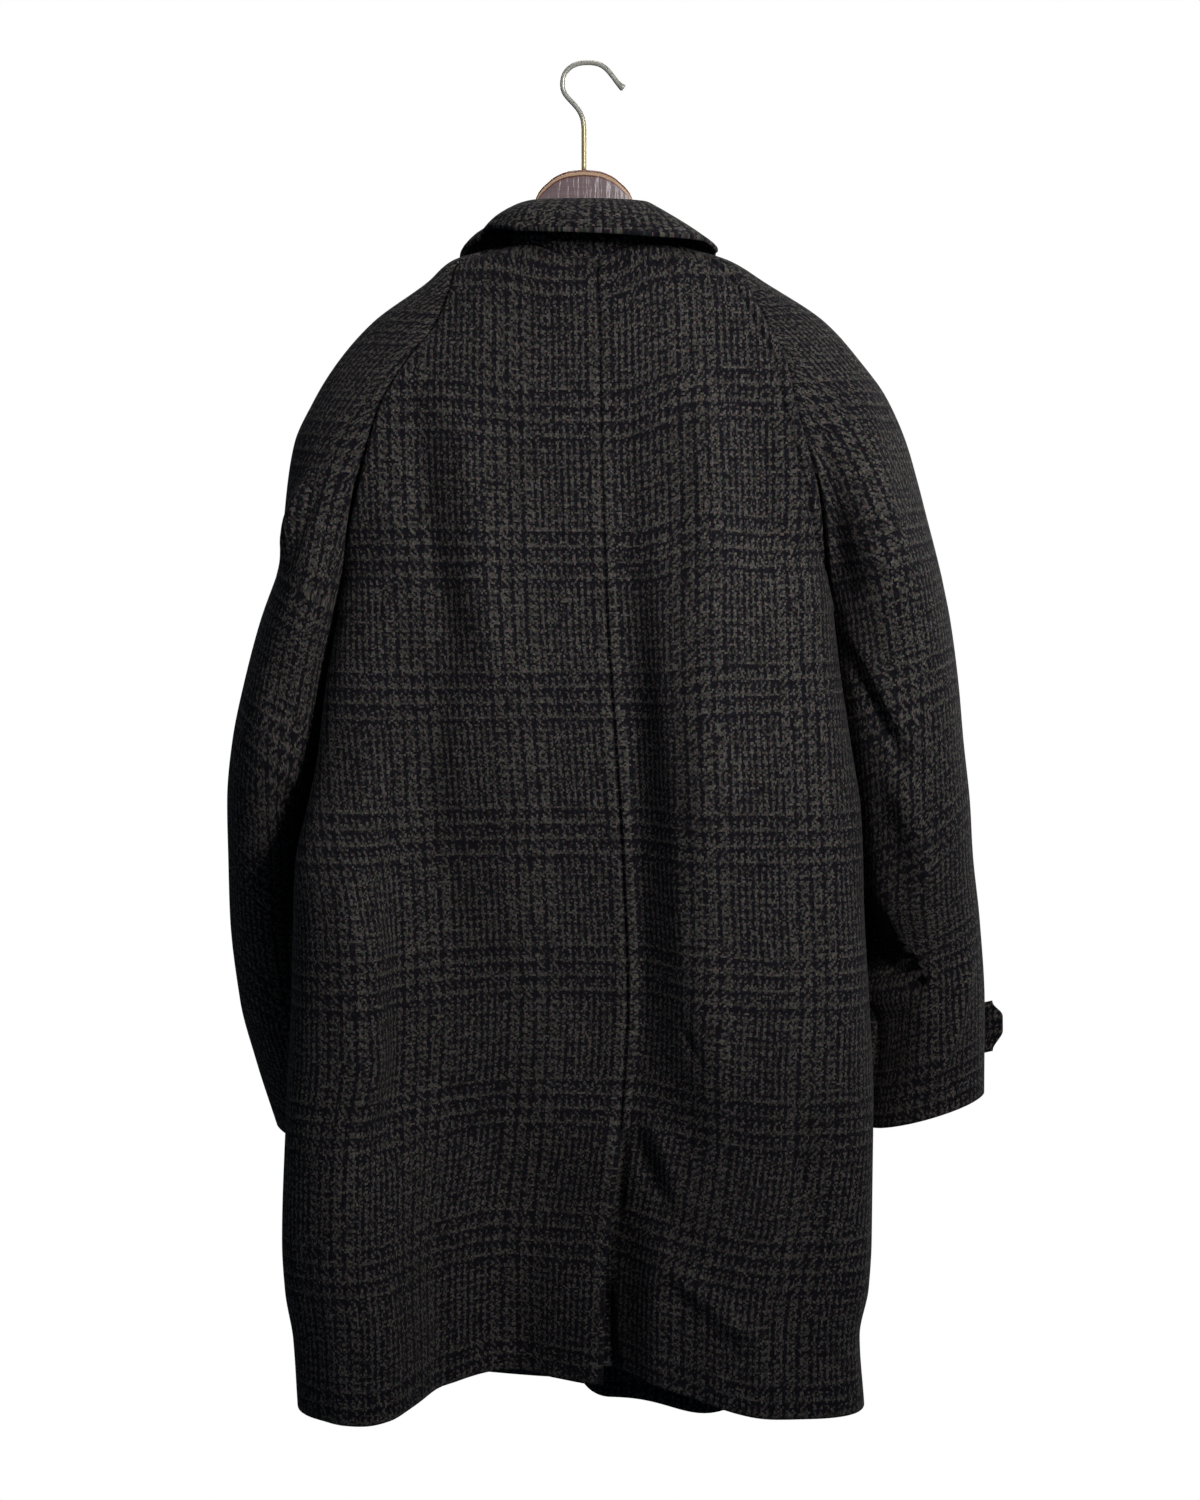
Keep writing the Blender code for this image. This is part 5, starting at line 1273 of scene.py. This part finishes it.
drawn_out = np.concatenate((before, line, after))
line = np.stack([np.convolve(drawn_out[:, axis], weight, mode="valid") for axis in (0, 1)], axis=-1)
way = np.gradient(line, axis=0)
way = way / np.linalg.norm(way, axis=-1, keepdims=True)
radius = smooth(HOOK, "radius", run)
tip = np.linspace(0, 1, DOME_RINGS + 2)[1:-1]
line = np.concatenate((line, line[-1] + way[-1] * HOOK_DOME * tip[:, None]))
way = np.concatenate((way, np.repeat(way[-1:], len(tip), axis=0)))
radius = np.concatenate((radius, radius[-1] * np.sqrt(1 - tip * tip)))
turn = np.linspace(0, 2 * math.pi, HOOK_SIDES, endpoint=False)
sideways = np.cos(turn) * radius[:, None]
rings = np.stack((line[:, :1] - way[:, 1:] * sideways, np.sin(turn) * radius[:, None],
                  line[:, 1:] + way[:, :1] * sideways), axis=-1)
piece = closed_tube("hanger_hook_wire", rings, plate, rings[..., ::2])
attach(piece, "root")
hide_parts("hanger_hook")

# Studio
# A pale round floor below the coat, soft panels of light and the camera in front of the coat's back.
FLOOR = dict(radius=1.2, height=-1.95, thick=0.01)
turn = np.linspace(0, 2 * math.pi, 96, endpoint=False)
wide = np.array([1.0, 0.5, 0.01])[:, None] * FLOOR["radius"]
rings = np.stack(np.broadcast_arrays(wide * np.cos(turn), wide * np.sin(turn), FLOOR["height"]), axis=-1)
rings = np.concatenate((rings - up * FLOOR["thick"], rings[::-1]))
rings = rings[[2, 1, 0, 5, 4, 3]]
# Pale floor paint: matt off-white that glows a little and lights nothing, so it stays pale under dim lamps.
paint = bpy.data.materials.new("pale_floor_paint")
paint.use_nodes = True
tree = paint.node_tree
shader = tree.nodes["Principled BSDF"]
spot = add_node(tree, "ShaderNodeTexCoord", {})["Object"]
cloud = add_node(tree, "ShaderNodeTexNoise", {"Vector": spot, "Scale": 2.0})["Fac"]
colour = add_node(tree, "ShaderNodeMix", {0: cloud, 6: hex_colour("#e4e2df"), 7: hex_colour("#eeece9")},
                  data_type="RGBA")[2]
tree.links.new(colour, shader.inputs["Base Color"])
shader.inputs["Roughness"].default_value = 0.8
shader.inputs["Emission Color"].default_value = hex_colour("#e9e7e4")
shader.inputs["Emission Strength"].default_value = 0.7
floor = closed_tube("floor", rings, paint, rings[..., :2])
floor.visible_diffuse = False
floor.visible_glossy = False

LAMPS = table(("x", "y", "z", "size", "power", "aim_z", "spread"), (
    (1.01, -1.50, 0.15, 0.45, 3.6, -0.42, 76.0),
    (-2.00, -1.45, 0.90, 1.5, 4.0, -0.60, 180.0),
    (0.00, 0.30, 1.60, 1.0, 8.0, -0.60, 180.0),
    (1.60, 1.20, -0.20, 1.0, 10.0, -0.60, 180.0),
    (0.00, 2.90, 0.60, 1.6, 40.0, -0.60, 180.0)))
for i, (x, y, z, size, power, aim_z, spread_angle) in enumerate(zip(*LAMPS.values())):
    lamp = bpy.data.lights.new("soft_panel_%d" % (i + 1), "AREA")
    lamp.size = size
    lamp.energy = power
    lamp.spread = math.radians(spread_angle)
    made = bpy.data.objects.new(lamp.name, lamp)
    made.location = (x, y, z)
    toward = mathutils.Vector((0.0, 0.0, aim_z)) - made.location
    made.rotation_euler = toward.to_track_quat("-Z", "Y").to_euler()
    bpy.context.scene.collection.objects.link(made)

# White behind the coat for the camera, and a dim grey all round for the rest of the light.
world = bpy.data.worlds.new("studio")
world.use_nodes = True
tree = world.node_tree
background = tree.nodes["Background"]
seen = add_node(tree, "ShaderNodeLightPath", {})["Is Camera Ray"]
colour = add_node(tree, "ShaderNodeMix", {0: seen, 6: hex_colour("#2b333d"), 7: hex_colour("#ffffff")},
                  data_type="RGBA")[2]
tree.links.new(colour, background.inputs["Color"])
bpy.context.scene.world = world
bpy.context.scene.view_settings.view_transform = "Standard"

camera = bpy.data.cameras.new("camera")
camera.lens = 71.314
camera.sensor_width = 36.0
made = bpy.data.objects.new("camera", camera)
made.location = (0.00877719, -2.64366653, -0.41784254)
made.rotation_euler = (math.radians(86.0), 0.0, 0.0)
bpy.context.scene.collection.objects.link(made)
bpy.context.scene.camera = made
